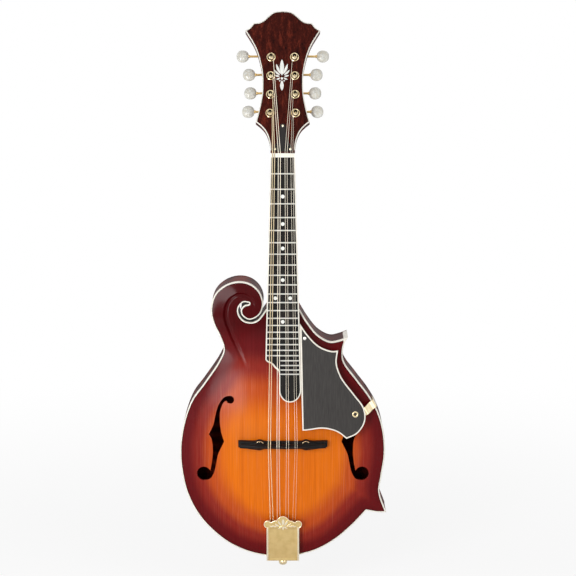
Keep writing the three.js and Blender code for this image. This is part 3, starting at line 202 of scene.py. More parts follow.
def inset(line, distance):
    """An outline moved inward, or outward where the distance is negative."""
    line = np.asarray(line, float)
    before = line - np.roll(line, 1, axis=0)
    after = np.roll(line, -1, axis=0) - line
    before /= np.linalg.norm(before, axis=1)[:, None]
    after /= np.linalg.norm(after, axis=1)[:, None]
    normal = np.stack((-before[:, 1] - after[:, 1], before[:, 0] + after[:, 0]), 1)
    normal /= np.maximum(np.linalg.norm(normal, axis=1)[:, None], 1e-9)
    stretch = np.maximum(normal[:, 1] * after[:, 0] - normal[:, 0] * after[:, 1], 0.4)
    side = math.copysign(1, area_of(line)) * distance
    moved = line + normal * (side / stretch)[:, None]
    return moved[distance_to(moved, line)[0] > abs(distance) * 0.97]


def circle(x, z, radius, sides=32):
    turn = np.arange(sides) / sides * CIRCLE
    return np.stack((x + radius * np.cos(turn), z + radius * np.sin(turn)), 1)


def spaced(line, step):
    """A closed line with points at most a step apart, its own points kept."""
    out = []
    for a, b in zip(line, np.roll(line, -1, axis=0)):
        n = max(1, math.ceil(np.linalg.norm(b - a) / step))
        out.extend(a + (b - a) * k / n for k in range(n))
    return np.array(out)


# Meshes: (points, faces) pairs in millimetres.

def clear_of(points, lines, gap):
    keep = np.ones(len(points), bool)
    for line in lines:
        keep &= distance_to(points, line)[0] > gap
    return keep


def between(points, outline, holes):
    """Which points lie on a plate and in none of its holes."""
    keep = within(points, outline)
    for hole in holes:
        keep &= ~within(points, hole)
    return keep


def plate(outline, front, back, holes=(), step=4.0, rings=(), extra=()):
    """A plate between two heights over its outline; rings are lines that the faces follow."""
    loops = [np.asarray(line, float) for line in (outline, *holes)]
    lines = loops + list(rings)
    lo, hi = loops[0].min(0), loops[0].max(0)
    rows = np.arange(lo[1] + step / 2, hi[1], step * 0.866)
    grid = np.array([(x + (step / 2 if i % 2 else 0), z) for i, z in enumerate(rows)
                     for x in np.arange(lo[0], hi[0], step)]).reshape(-1, 2)
    gap = step * 0.45
    keep = between(grid, loops[0], loops[1:]) & clear_of(grid, lines, gap)
    if len(extra):
        own = np.concatenate(extra)
        near = KDTree(len(own))
        for i, (x, z) in enumerate(own):
            near.insert((x, z, 0), i)
        near.balance()
        keep &= np.array([near.find((x, z, 0))[2] > gap for x, z in grid])
    edges, start = [], 0
    for line in lines:
        n = len(line)
        edges += [(start + i, start + (i + 1) % n) for i in range(n)]
        start += n
    verts, _, faces, _, _, _ = delaunay_2d_cdt(
        [Vector(p) for p in np.concatenate([*lines, *extra, grid[keep]])], edges, [], 0, 1e-5)
    verts = np.array([tuple(v) for v in verts])
    faces = np.array([f for f in faces if len(f) == 3])
    faces = faces[between(verts[faces].mean(1), loops[0], loops[1:])]
    a, b, c = (verts[faces[:, i]] for i in range(3))
    flip = np.cross(b - a, c - a) < 0
    faces[flip] = faces[flip][:, ::-1]
    used = np.unique(faces)
    renumber = np.full(len(verts), -1)
    renumber[used] = np.arange(len(used))
    verts, faces = verts[used], renumber[faces]
    n = len(verts)
    x, z = verts[:, 0], verts[:, 1]
    near, far = (np.broadcast_to(side(x, z) if callable(side) else side, x.shape)
                 for side in (front, back))
    body = np.concatenate((np.stack((x, near, z), 1), np.stack((x, far, z), 1)))
    sides = np.concatenate((faces[:, [0, 1]], faces[:, [1, 2]], faces[:, [2, 0]])).tolist()
    keys = {tuple(e) for e in sides}
    polys = faces.tolist() + (faces[:, ::-1] + n).tolist()
    return body, polys + [(b, a, a + n, b + n) for a, b in sides if (b, a) not in keys]


def rounded(line, height, radius, towards=1):
    """Heights of a face whose edge along a line is rounded off."""
    def at(x, z):
        away = np.minimum(distance_to(np.stack((x, z), 1), line)[0], radius)
        level = height(x, z) if callable(height) else height
        return level + towards * (radius - np.sqrt(radius ** 2 - (radius - away) ** 2))
    return at


def edge_rings(line, radius, shares=(0.15, 0.45, 1.0)):
    return [inset(line, radius * share) for share in shares]


def soft_plate(line, front, back, radius, holes=(), step=4.0, shares=(0.15, 0.45, 1.0)):
    """A plate whose front edge is rounded off."""
    return plate(line, rounded(line, front, radius), back, holes, step,
                 edge_rings(line, radius, shares))


def lathe(profile, axis="y", centre=(0, 0), sides=32):
    """A turned body from (height, radius) pairs along an axis; its ends close at radius 0."""
    turn = np.arange(sides) / sides * CIRCLE
    points, rings = [], []
    for height, radius in profile:
        if radius <= 1e-6:
            rings.append([len(points)])
            points.append((0, height, 0))
        else:
            rings.append(list(range(len(points), len(points) + sides)))
            points.extend((radius * math.cos(t), height, radius * math.sin(t)) for t in turn)
    faces = []
    for low, high in zip(rings, rings[1:]):
        for k in range(sides):
            m = (k + 1) % sides
            if len(low) == 1 and len(high) > 1:
                faces.append((low[0], high[k], high[m]))
            elif len(high) == 1 and len(low) > 1:
                faces.append((low[m], low[k], high[0]))
            elif len(low) > 1:
                faces.append((low[m], low[k], high[k], high[m]))
    for ring, end in ((rings[0], 1), (rings[-1], -1)):
        if len(ring) > 1:
            faces.append(ring[::end])
    points = np.array(points)
    a, b = centre
    if axis == "x":
        return np.stack((points[:, 1], points[:, 0] + a, -points[:, 2] + b), 1), faces
    return points + (a, 0, b), faces


def turned_ring(profile, sides):
    """A turned ring, such as a ferrule, whose profile closes on itself."""
    points, faces = lathe(profile, sides=sides)
    last = len(points) - sides
    return points, faces[:-2] + [(last + (k + 1) % sides, last + k, k, (k + 1) % sides)
                                 for k in range(sides)]


def skin(rings):
    """A closed body over rings of points, with a face over each end."""
    rings = [np.asarray(ring, float) for ring in rings]
    count = len(rings[0])
    last = (len(rings) - 1) * count
    faces = []
    for a in range(0, last, count):
        for j in range(count):
            k = (j + 1) % count
            faces.append((a + j, a + k, a + count + k, a + count + j))
    faces += [tuple(range(count))[::-1], tuple(range(last, last + count))]
    return np.concatenate(rings), faces


def box(x0, x1, y0, y1, z0, z1):
    return skin([[(x0, y0, z), (x1, y0, z), (x1, y1, z), (x0, y1, z)] for z in (z0, z1)])


def merge(*bodies):
    points, faces, start = [], [], 0
    for p, f in bodies:
        points.append(np.asarray(p, float))
        faces += [tuple(i + start for i in face) for face in f]
        start += len(p)
    return np.concatenate(points), faces


def moved(body, matrix):
    """A body carried by a matrix in millimetres."""
    m = np.array(matrix)
    return np.asarray(body[0], float) @ m[:3, :3].T + m[:3, 3], body[1]


# Node trees.

class Sock:
    """A socket of a node tree that can be used in sums."""

    def __init__(self, graph, socket):
        self.graph, self.socket = graph, socket

    def __add__(self, other):
        return self.graph.math("ADD", self, other)

    def __sub__(self, other):
        return self.graph.math("SUBTRACT", self, other)

    def __rsub__(self, other):
        return self.graph.math("SUBTRACT", other, self)

    def __mul__(self, other):
        return self.graph.math("MULTIPLY", self, other)

    def __truediv__(self, other):
        return self.graph.math("DIVIDE", self, other)

    def __pow__(self, other):
        return self.graph.math("POWER", self, other)

    def __rpow__(self, other):
        return self.graph.math("POWER", other, self)

    def __lt__(self, other):
        return self.graph.math("LESS_THAN", self, other)

    __radd__ = __add__
    __rmul__ = __mul__

    def out(self, name):
        """Another output of the same node."""
        return Sock(self.graph, self.socket.node.outputs[name])

    def wave(self):
        """The sine of a value, moved to lie between 0 and 1."""
        return self.graph.math("SINE", self) * 0.5 + 0.5

    def smooth(self, low, high):
        """0 below low, 1 above high and a soft slope between them."""
        return self.graph.node("ShaderNodeMapRange", {"interpolation_type": "SMOOTHSTEP"},
                               {"Value": self, "From Min": low, "From Max": high})


class Graph:
    """A node tree that is built node by node."""

    def __init__(self, tree):
        self.tree = tree

    def node(self, kind, settings=None, sockets=(), out=0):
        node = self.tree.nodes.new(kind)
        for name, value in (settings or {}).items():
            setattr(node, name, value)
        pairs = sockets.items() if isinstance(sockets, dict) else enumerate(sockets)
        for key, value in pairs:
            if isinstance(key, int):
                socket = node.inputs[key]
            else:
                socket = next(s for s in node.inputs if s.enabled and key in (s.name, s.identifier))
            self.feed(socket, value)
        return Sock(self, node.outputs[out]) if node.outputs else None

    def feed(self, socket, value):
        if isinstance(value, Sock):
            self.tree.links.new(value.socket, socket)
        else:
            socket.default_value = value

    def math(self, operation, *values):
        return self.node("ShaderNodeMath", {"operation": operation}, values)


def rgb(red, green, blue):
    """A colour as seen on a screen, in the renderer's own scale."""
    return tuple(c / 12.92 if c <= 0.04045 else ((c + 0.055) / 1.055) ** 2.4
                 for c in (red / 255, green / 255, blue / 255)) + (1.0,)


class Look(Graph):
    """A material built from nodes."""

    def __init__(self, name):
        self.material = bpy.data.materials.new(name)
        self.material.use_nodes = True
        super().__init__(self.material.node_tree)
        self.shader = self.tree.nodes["Principled BSDF"]
        metres = self.node("ShaderNodeTexCoord", out="Object")
        self.mm = self.node("ShaderNodeVectorMath", {"operation": "SCALE"}, {
            0: metres, "Scale": 1000.0})
        self.x = self.node("ShaderNodeSeparateXYZ", sockets=[self.mm])
        self.y, self.z = self.x.out("Y"), self.x.out("Z")

    def noise(self, x, y, z, detail=2.0, rough=0.5, twist=0.0):
        """Noise on the place in millimetres, scaled along each axis."""
        place = self.node("ShaderNodeVectorMath", {"operation": "MULTIPLY"}, [self.mm, (x, y, z)])
        return self.node("ShaderNodeTexNoise", None, {
            "Vector": place, "Scale": 1.0, "Detail": detail, "Roughness": rough,
            "Distortion": twist})

    def mix(self, factor, a, b, blend="MIX"):
        return self.node("ShaderNodeMix", {"data_type": "RGBA", "blend_type": blend}, {
            "Factor_Float": factor, "A_Color": a, "B_Color": b}, out=2)

    def stain(self, factor, colour, tint):
        """A colour darkened by a tint."""
        return self.mix(factor, colour, self.mix(1.0, colour, tint, "MULTIPLY"))

    def ramp(self, value, stops):
        """Colours along a value, each (value, colour)."""
        colour = stops[0][1]
        for (low, _), (high, after) in zip(stops, stops[1:]):
            colour = self.mix(value.smooth(low, high), colour, after)
        return colour

    def bump(self, height, distance, strength=1.0):
        """Height from 0 to 1 stands for a distance in millimetres."""
        return self.node("ShaderNodeBump", None, {
            "Height": height, "Distance": distance * MM, "Strength": strength})

    def finish(self, **sockets):
        names = {"color": "Base Color", "rough": "Roughness", "metal": "Metallic",
                 "coat": "Coat Weight", "coat_rough": "Coat Roughness", "normal": "Normal",
                 "specular": "Specular IOR Level"}
        for key, value in sockets.items():
            self.feed(self.shader.inputs[names[key]], value)
        return self.material


# The burst darkens over this width from the edge, and over this length towards the neck.
BURST_WIDTH, BURST_START, BURST_LENGTH = 63, 214, 118


def sunburst_lacquer():
    """Spruce stained from amber in the middle to dark red at the edge, under lacquer."""
    look = Look("sunburst_lacquer")
    drift = look.noise(0.014, 0.014, 0.01, 3.0) - 0.5
    edge = look.node("ShaderNodeAttribute", {"attribute_name": "edge"}, out="Fac")
    from_edge = edge / BURST_WIDTH + drift * 0.12
    from_neck = (look.z * -1 - BURST_START) / BURST_LENGTH + drift * 0.1
    shade = look.math("SMOOTH_MIN", from_edge, from_neck, 0.18)
    colour = look.ramp(shade, [
        (-0.1, rgb(74, 8, 12)), (0.16, rgb(100, 15, 19)), (0.38, rgb(138, 38, 28)),
        (0.6, rgb(186, 76, 26)), (0.98, rgb(222, 112, 12))])
    wave = look.noise(0.05, 0.0, 0.006, 1.0) * 5
    grain = (look.x * 3.1 + wave * 2.4).wave() ** 2
    streak = look.noise(0.55, 0.1, 0.004, 4.0, 0.7)
    fibre = look.noise(2.6, 0.2, 0.05, 4.0, 0.7)
    colour = look.stain(grain * 0.16, colour, rgb(196, 150, 128))
    colour = look.stain(streak.smooth(0.4, 0.75) * 0.5, colour, rgb(214, 176, 150))
    colour = look.stain(fibre.smooth(0.45, 0.75) * 0.2, colour, rgb(206, 172, 160))
    # Pale streaks in the middle of the top: partly the spruce's own tone, partly painted sheen of
    # the lamps.
    pale_streaks_and_sheen = look.noise(1.5, 0.2, 0.012, 3.0, 0.7).smooth(0.5, 0.8) * shade.smooth(0.1, 0.6)
    colour = look.mix(pale_streaks_and_sheen * 0.2, colour, rgb(246, 176, 138))
    wobble = look.noise(0.03, 0.03, 0.03, 2.0)
    return look.finish(color=colour, rough=0.42 + fibre * 0.1, coat=0.2, coat_rough=0.14,
                       specular=0.0, normal=look.bump(wobble + grain * 0.004, 0.4, 0.3))


def flamed_maple():
    """Maple with cross flames, stained dark red brown, under lacquer."""
    look = Look("flamed_maple")
    sway = look.noise(0.035, 0.05, 0.012, 2.0) * 9
    flame = (look.z * 0.52 + sway).wave() ** 1.4
    patch = look.noise(0.03, 0.03, 0.02, 2.0).smooth(0.3, 0.75)
    colour = look.mix(flame * patch * 0.75, rgb(70, 17, 15), rgb(138, 48, 27))
    pores = look.noise(1.6, 1.6, 0.08, 3.0, 0.7)
    colour = look.mix(pores.smooth(0.5, 0.8) * 0.35, colour, rgb(40, 10, 10))
    return look.finish(color=colour, rough=0.42, coat=0.2, coat_rough=0.14, specular=0.0,
                       normal=look.bump(look.noise(0.04, 0.04, 0.03, 2.0), 0.4, 0.3))


def bare_wood():
    look = Look("bare_wood")
    fibre = look.noise(1.1, 1.1, 0.05, 4.0, 0.65)
    rings = (look.x * 3.1 + look.noise(0.04, 0.04, 0.01, 1.0) * 8).wave() ** 2
    colour = look.mix(rings * 0.5, rgb(201, 161, 112), rgb(170, 122, 76))
    colour = look.mix(fibre * 0.4, colour, rgb(148, 104, 64))
    return look.finish(color=colour, rough=0.75, normal=look.bump(fibre, 0.15))


def cream_binding():
    look = Look("cream_binding")
    tint = look.noise(0.06, 0.06, 0.06, 3.0)
    colour = look.mix(tint, rgb(240, 236, 227), rgb(226, 219, 204))
    return look.finish(color=colour, rough=0.34 + look.noise(0.9, 0.9, 0.9, 2.0) * 0.1, coat=0.3,
                       coat_rough=0.1, specular=0.2, normal=look.bump(tint, 0.1, 0.4))


def ebony():
    look = Look("ebony")
    fibre = look.noise(2.4, 2.4, 0.045, 4.0, 0.7)
    streak = look.noise(0.5, 0.5, 0.012, 2.0)
    colour = look.mix(streak.smooth(0.5, 0.75) * 0.6, rgb(21, 19, 19), rgb(50, 43, 41))
    colour = look.mix(fibre.smooth(0.55, 0.8) * 0.6, colour, rgb(12, 11, 12))
    return look.finish(color=colour, rough=0.4 + fibre * 0.15, specular=0.12,
                       normal=look.bump(fibre, 0.08))


def rosewood():
    look = Look("rosewood")
    band = look.noise(0.2, 0.2, 0.006, 3.0, 0.6, 0.4)
    vein = look.noise(1.0, 1.0, 0.035, 5.0, 0.72)
    colour = look.ramp(band * 0.6 + vein * 0.5, [
        (0.36, rgb(24, 5, 5)), (0.53, rgb(60, 18, 12)), (0.72, rgb(104, 40, 27))])
    pores = look.noise(4.0, 4.0, 0.16, 2.0, 0.6).smooth(0.58, 0.7)
    colour = look.mix(pores * 0.6, colour, rgb(22, 6, 6))
    return look.finish(color=colour, rough=0.42, coat=0.1, coat_rough=0.12, specular=0.0,
                       normal=look.bump(vein - pores * 0.3, 0.08, 0.5))


def guard_celluloid():
    look = Look("guard_celluloid")
    streak = look.noise(0.75, 0.75, 0.012, 3.0, 0.6)
    colour = look.mix(streak, rgb(38, 36, 35), rgb(68, 65, 63))
    return look.finish(color=colour, rough=0.4 + streak * 0.12, specular=0.2,
                       normal=look.bump(streak, 0.05, 0.4))


def bell_plastic():
    look = Look("bell_plastic")
    haze = look.noise(0.14, 0.14, 0.14, 3.0)
    colour = look.mix(haze, rgb(28, 25, 25), rgb(44, 40, 39))
    return look.finish(color=colour, rough=0.36 + haze * 0.1, specular=0.22)


def bone():
    look = Look("bone")
    pores = look.noise(2.0, 6.0, 6.0, 3.0, 0.6)
    colour = look.mix(pores.smooth(0.4, 0.8), rgb(250, 248, 241), rgb(232, 224, 206))
    return look.finish(color=colour, rough=0.4, coat=0.3, normal=look.bump(pores, 0.04))


def metal(name, light, dark, rough, brush=(0.2, 3.0, 3.0)):
    look = Look(name)
    scratch = look.noise(*brush, 4.0, 0.7)
    cloud = look.noise(0.12, 0.12, 0.12, 3.0)
    colour = look.mix(cloud.smooth(0.3, 0.8) * 0.6, light, dark)
    return look.finish(color=colour, metal=1.0, rough=rough + scratch * 0.12 + cloud * 0.06,
                       normal=look.bump(scratch, 0.02, 0.5))


def wound_bronze():
    """The wrap wire of the low strings: fine close rings along the string, each painted lighter on
    its crown and darker between rings, as painted highlight and shade.
    """
    look = Look("wound_bronze")
    ring = (look.z * 12.5).wave()
    # Painted highlight on each ring's crown and painted shade between the rings.
    colour = look.mix(ring, rgb(214, 188, 146), rgb(255, 242, 212))
    return look.finish(color=colour, metal=1.0, rough=0.34, normal=look.bump(ring, 0.12, 0.8))


def pearl(name, light, warm, cool, scale):
    look = Look(name)
    swirl = look.noise(scale, scale, scale, 4.0, 0.6, 2.6)
    glint = look.noise(scale * 2.1, scale * 0.8, scale * 1.4, 3.0, 0.6, 3.4)
    colour = look.mix(swirl.smooth(0.35, 0.65), light, warm)
    colour = look.mix(glint.smooth(0.45, 0.7) * 0.7, colour, cool)
    return look.finish(color=colour, rough=0.2 + swirl * 0.12, coat=0.5, coat_rough=0.06,
                       specular=0.3, normal=look.bump(swirl, 0.05, 0.4))


WHITE = (1.0, 1.0, 1.0, 1.0)


def studio_floor():
    look = Look("studio_floor")
    haze = look.noise(0.002, 0.002, 0.002, 2.0)
    colour = look.mix(haze, rgb(252, 252, 252), rgb(255, 255, 255))
    look.finish(color=colour, rough=0.9, specular=0.0)
    # Seen directly, the floor fades into the white round it and keeps its soft shadow.
    path = look.node("ShaderNodeLightPath", out="Is Camera Ray")
    away = (look.x * look.x + look.y * look.y) ** 0.5
    white = look.node("ShaderNodeEmission", None, {"Color": WHITE, "Strength": 1.0})
    mixed = look.node("ShaderNodeMixShader", None, {
        0: path * (0.78 + away.smooth(250, 1300) * 0.22),
        1: Sock(look, look.shader.outputs[0]), 2: white})
    look.feed(look.tree.nodes["Material Output"].inputs["Surface"], mixed)
    return look.material


LACQUER = sunburst_lacquer()
MAPLE = flamed_maple()
WOOD = bare_wood()
CREAM = cream_binding()
EBONY = ebony()
ROSEWOOD = rosewood()
GUARD = guard_celluloid()
PLASTIC = bell_plastic()
BONE = bone()
GOLD = metal("satin_gold", rgb(234, 208, 146), rgb(208, 178, 112), 0.22)
BRIGHT_GOLD = metal("bright_gold", rgb(246, 230, 190), rgb(226, 200, 150), 0.1, (1.5, 1.5, 1.5))
AGED_GOLD = metal("aged_gold", rgb(206, 174, 116), rgb(168, 132, 80), 0.24)
# A dark metal, painted into the upper part of each post's bowl as shade.
PAINTED_BOWL_SHADE = metal("painted_bowl_shade", rgb(40, 34, 26), rgb(20, 17, 14), 0.4)
PALE_GOLD = metal("pale_gold", rgb(255, 246, 220), rgb(248, 232, 196), 0.16, (1.5, 1.5, 1.5))
STEEL = metal("steel", rgb(240, 238, 232), rgb(216, 214, 208), 0.2, (1.5, 1.5, 0.2))
STRING_STEEL = metal("string_steel", rgb(255, 246, 228), rgb(244, 230, 206), 0.3, (1.5, 1.5, 0.2))
BRONZE = wound_bronze()
PEARL = pearl("pearl_buttons", rgb(226, 226, 220), rgb(206, 198, 180), rgb(160, 168, 168), 0.2)
SHELL = pearl("pearl_shell", rgb(246, 246, 240), rgb(224, 232, 226), rgb(240, 226, 230), 0.4)

# The finish slot of each piece of the CAD model; the others are gold.
SLOTS = {
    "soundboard": "sunburst_spruce", "rim": "stained_maple", "back_plate": "stained_maple",
    "neck": "stained_maple", "top_binding": "cream_binding", "horn_tip_cap": "cream_binding",
    "fingerboard_binding": "cream_binding", "headstock_binding": "cream_binding",
    "fingerboard": "ebony", "bridge_base": "ebony", "bridge_saddle": "ebony",
    "headplate": "rosewood", "truss_rod_cover": "black_plastic", "pickguard": "black_plastic",
    "nut": "bone", "truss_rod": "steel", "head_block": "bare_wood", "tail_block": "bare_wood",
    "tone_bar_bass": "bare_wood", "tone_bar_treble": "bare_wood",
    **{f"string_{i}": "bronze" if i < 3 else "steel" for i in range(1, 9)},
    **{f"tuner_button_{i}": "pearloid" for i in range(1, 9)}}


# Pieces.

def linked(name, data):
    """A new object in the scene."""
    thing = bpy.data.objects.new(name, data)
    bpy.context.scene.collection.objects.link(thing)
    return thing


def mesh_of(name, body, looks, matrix=None, sharp=32.0):
    """A mesh from a body in millimetres, with its faces pointing out."""
    points, faces = body if matrix is None else moved(body, matrix)
    points = np.asarray(points, float) * MM
    volume = 0.0
    for face in faces:
        a = points[face[0]]
        for b, c in zip(face[1:-1], face[2:]):
            volume += a @ np.cross(points[b], points[c])
    if volume < 0:
        faces = [tuple(face)[::-1] for face in faces]
    mesh = bpy.data.meshes.new(name)
    mesh.from_pydata(points.tolist(), [], [tuple(int(i) for i in face) for face in faces])
    for look in looks:
        mesh.materials.append(look)
    mesh.shade_smooth()
    mesh.set_sharp_from_angle(angle=math.radians(sharp))
    return mesh


def points_of(mesh):
    points = np.empty(len(mesh.vertices) * 3)
    mesh.vertices.foreach_get("co", points)
    return points.reshape(-1, 3) / MM


def place(name, mesh, node, body=ROOT):
    """Puts a finished mesh in the scene, on a body and in place of a piece of the CAD model."""
    piece, slot = linked(name, mesh), SLOTS.get(node, "gold")
    if body:
        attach(piece, body)
    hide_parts(node)
    return piece


def make(name, shape, look, node, body=ROOT, matrix=None, sharp=32.0):
    return place(name, mesh_of(name, shape, [look], matrix, sharp), node, body)


def combined(operation, shapes):
    """The first body with the others joined to it or cut out of it."""
    objects = [linked("part", mesh_of("part", shape, [])) for shape in shapes]
    for other in objects[1:]:
        step = objects[0].modifiers.new("step", "BOOLEAN")
        step.operation, step.solver, step.object = operation, "EXACT", other
    depsgraph = bpy.context.evaluated_depsgraph_get()
    mesh = bpy.data.meshes.new_from_object(objects[0].evaluated_get(depsgraph))
    for piece in objects:
        bpy.data.objects.remove(piece)
    return points_of(mesh), [tuple(face.vertices) for face in mesh.polygons]


def fused(shapes):
    return combined("UNION", shapes)


def difference(shape, tools):
    return combined("DIFFERENCE", [shape, *tools])


# Geometry trees.

def geometry_tree(name, inputs):
    """An empty geometry tree: its graph, its inputs by name and a way to end it."""
    tree = bpy.data.node_groups.new(name, "GeometryNodeTree")
    tree.interface.new_socket("Geometry", in_out="INPUT", socket_type="NodeSocketGeometry")
    for title, kind in inputs.items():
        tree.interface.new_socket(title, in_out="INPUT", socket_type="NodeSocket" + kind)
    tree.interface.new_socket("Geometry", in_out="OUTPUT", socket_type="NodeSocketGeometry")
    graph = Graph(tree)
    entry = graph.node("NodeGroupInput")
    given = {title: entry.out(title) for title in ("Geometry", *inputs)}

    def end(geometry, look):
        real = graph.node("GeometryNodeRealizeInstances", None, {"Geometry": geometry})
        smooth = graph.node("GeometryNodeSetShadeSmooth", None, {"Geometry": real})
        dressed = graph.node("GeometryNodeSetMaterial", None, {
            "Geometry": smooth, "Material": look})
        graph.node("NodeGroupOutput", None, [dressed])
        return tree

    return graph, given, end


def grown(tree, mesh, matrix=None, sharp=32.0, **inputs):
    """The mesh that a geometry tree makes from another mesh and its inputs."""
    carrier = linked("carrier", mesh)
    modifier = carrier.modifiers.new("tree", "NODES")
    modifier.node_group = tree
    for item in tree.interface.items_tree:
        if item.in_out == "INPUT" and item.name in inputs:
            modifier[item.identifier] = inputs[item.name]
    carrier.update_tag()
    bpy.context.view_layer.update()
    depsgraph = bpy.context.evaluated_depsgraph_get()
    result = bpy.data.meshes.new_from_object(carrier.evaluated_get(depsgraph), depsgraph=depsgraph)
    bpy.data.objects.remove(carrier)
    if matrix is not None:
        lifted = matrix.copy()
        lifted.translation = matrix.translation * MM
        result.transform(lifted)
    result.set_sharp_from_angle(angle=math.radians(sharp))
    return result


def repeat_tree():
    """Sets an item on every point; each point states its size and its turn."""
    graph, given, end = geometry_tree("items_on_points", {"Item": "Object", "Look": "Material"})
    item = graph.node("GeometryNodeObjectInfo", None, {"Object": given["Item"]}, out="Geometry")
    size = graph.node("GeometryNodeInputNamedAttribute", {"data_type": "FLOAT"}, {"Name": "size"})
    turn = graph.node("GeometryNodeInputNamedAttribute", {"data_type": "FLOAT_VECTOR"},
                      {"Name": "turn"})
    points = graph.node("GeometryNodeMeshToPoints", None, {"Mesh": given["Geometry"]})
    copies = graph.node("GeometryNodeInstanceOnPoints", None, {
        "Points": points, "Instance": item, "Rotation": turn, "Scale": size})
    return end(copies, given["Look"])


def path_tree():
    """A round wire along the edges of a mesh, closed at both ends."""
    graph, given, end = geometry_tree("wire_on_path", {
        "Radius": "Float", "Sides": "Int", "Look": "Material"})
    curve = graph.node("GeometryNodeMeshToCurve", None, {"Mesh": given["Geometry"]})
    ring = graph.node("GeometryNodeCurvePrimitiveCircle", {"mode": "RADIUS"}, {
        "Resolution": given["Sides"], "Radius": given["Radius"]})
    wire = graph.node("GeometryNodeCurveToMesh", None, {
        "Curve": curve, "Profile Curve": ring, "Fill Caps": True})
    return end(wire, given["Look"])


def fret_tree():
    """Frets at their places down the scale, each as wide as the board there."""
    graph, given, end = geometry_tree("frets_on_scale", {
        "Count": "Int", "Scale Length": "Float", "Nut Width": "Float", "Taper": "Float",
        "Margin": "Float", "Step Place": "Float", "Step Left": "Float",
        "Crown": "Vector", "Look": "Material"})
    line = graph.node("GeometryNodeMeshLine", None, {
        "Count": given["Count"], "Offset": (0.0, 0.0, 0.0)})
    number = graph.node("GeometryNodeInputIndex") + 1
    z = given["Scale Length"] * (2 ** (number / -12) - 1)
    right = (given["Nut Width"] - z * given["Taper"]) / 2 - given["Margin"]
    stepped = z < given["Step Place"]
    left = right * -1 * (1 - stepped) + (given["Step Left"] + given["Margin"]) * stepped
    spot = graph.node("ShaderNodeCombineXYZ", None, [(left + right) / 2, 0.0, z])
    points = graph.node("GeometryNodeSetPosition", None, {"Geometry": line, "Position": spot})
    rod = graph.node("GeometryNodeMeshCylinder", None, {
        "Vertices": 20, "Radius": 1.0, "Depth": 1.0})
    turned = graph.node("GeometryNodeTransform", None, {
        "Geometry": rod, "Rotation": (0.0, math.pi / 2, 0.0)})
    crown = graph.node("ShaderNodeSeparateXYZ", None, [given["Crown"]])
    size = graph.node("ShaderNodeCombineXYZ", None, [
        right - left, crown.out("Y"), crown.out("Z")])
    copies = graph.node("GeometryNodeInstanceOnPoints", None, {
        "Points": points, "Instance": turned, "Scale": size})
    return end(copies, given["Look"])


REPEAT, PATH, FRETS = repeat_tree(), path_tree(), fret_tree()


def items(places, shape, look, matrix, turn=(0.0, 0.0, 0.0)):
    """Copies of a shape on places, both in millimetres."""
    spots = bpy.data.meshes.new("spots")
    spots.from_pydata((np.asarray(places, float) * MM).tolist(), [], [])
    sizes = spots.attributes.new("size", "FLOAT", "POINT")
    sizes.data.foreach_set("value", np.ones(len(places), np.float32))
    turns = spots.attributes.new("turn", "FLOAT_VECTOR", "POINT")
    turns.data.foreach_set("vector", np.tile(np.float32(turn), len(places)))
    pattern = linked("pattern", mesh_of("pattern", shape, []))
    mesh = grown(REPEAT, spots, matrix, Item=pattern, Look=look)
    bpy.data.objects.remove(pattern)
    return mesh


def wire(line, radius, look, sides=10, matrix=None):
    """A round wire along a line of points in millimetres."""
    path = bpy.data.meshes.new("path")
    path.from_pydata((np.asarray(line, float) * MM).tolist(),
                     [(i, i + 1) for i in range(len(line) - 1)], [])
    return grown(PATH, path, matrix, sharp=60.0, Radius=radius * MM, Sides=sides, Look=look)


# Lines of the body, an f-hole, the crest, the headstock, the pickguard and the cover's crown,
# in shares of their widths and lengths. A line turns a corner where one run ends.

BODY_SHARES = [
    [(0.080, 0.000), (0.120, -0.048), (0.171, -0.093), (0.229, -0.115), (0.273, -0.110),
     (0.313, -0.099)],
    [(0.313, -0.099), (0.294, -0.130), (0.293, -0.182), (0.357, -0.251), (0.413, -0.305),
     (0.460, -0.365), (0.489, -0.435), (0.498, -0.519), (0.482, -0.606), (0.473, -0.662),
     (0.507, -0.738)],
    [(0.507, -0.738), (0.464, -0.738), (0.409, -0.731)],
    [(0.409, -0.731), (0.342, -0.785), (0.250, -0.843), (0.140, -0.885), (0.000, -0.902),
     (-0.131, -0.893), (-0.255, -0.857), (-0.357, -0.797), (-0.425, -0.734), (-0.476, -0.650),
     (-0.501, -0.530), (-0.487, -0.425), (-0.441, -0.326), (-0.383, -0.267), (-0.307, -0.184),
     (-0.286, -0.143), (-0.304, -0.097), (-0.334, -0.050), (-0.346, -0.002), (-0.326, 0.052),
     (-0.275, 0.086), (-0.210, 0.099), (-0.151, 0.089), (-0.108, 0.058), (-0.094, 0.017),
     (-0.113, -0.020), (-0.160, -0.037), (-0.194, -0.023), (-0.202, -0.003), (-0.185, 0.014),
     (-0.165, 0.018)],
    [(-0.165, 0.018), (-0.1617, 0.0193), (-0.1607, 0.0212), (-0.1622, 0.0232), (-0.166, 0.024)],
    [(-0.166, 0.024), (-0.189, 0.025), (-0.212, 0.006), (-0.211, -0.017), (-0.189, -0.039),
     (-0.153, -0.046), (-0.121, -0.038), (-0.080, 0.000)],
]
HOLE_SHARES = [
    [(-0.255, 0.169), (-0.282, 0.164), (-0.309, 0.138), (-0.325, 0.104), (-0.337, 0.063),
     (-0.359, 0.028)],
    [(-0.359, 0.028), (-0.346, 0.009), (-0.341, -0.021), (-0.343, -0.060), (-0.355, -0.111)],
    [(-0.385, -0.142), (-0.355, -0.136), (-0.335, -0.111), (-0.324, -0.077), (-0.315, -0.045),
     (-0.285, 0.003)],
    [(-0.285, 0.003), (-0.299, 0.037), (-0.306, 0.090), (-0.300, 0.123), (-0.281, 0.148),
     (-0.255, 0.153)],
]
CREST_SHARES = [
    (-0.188, -0.215), (-0.225, -0.150), (-0.262, -0.085), (-0.288, -0.020), (-0.268, 0.035),
    (-0.215, 0.061), (-0.160, 0.052), (-0.133, 0.022), (-0.139, -0.001)]
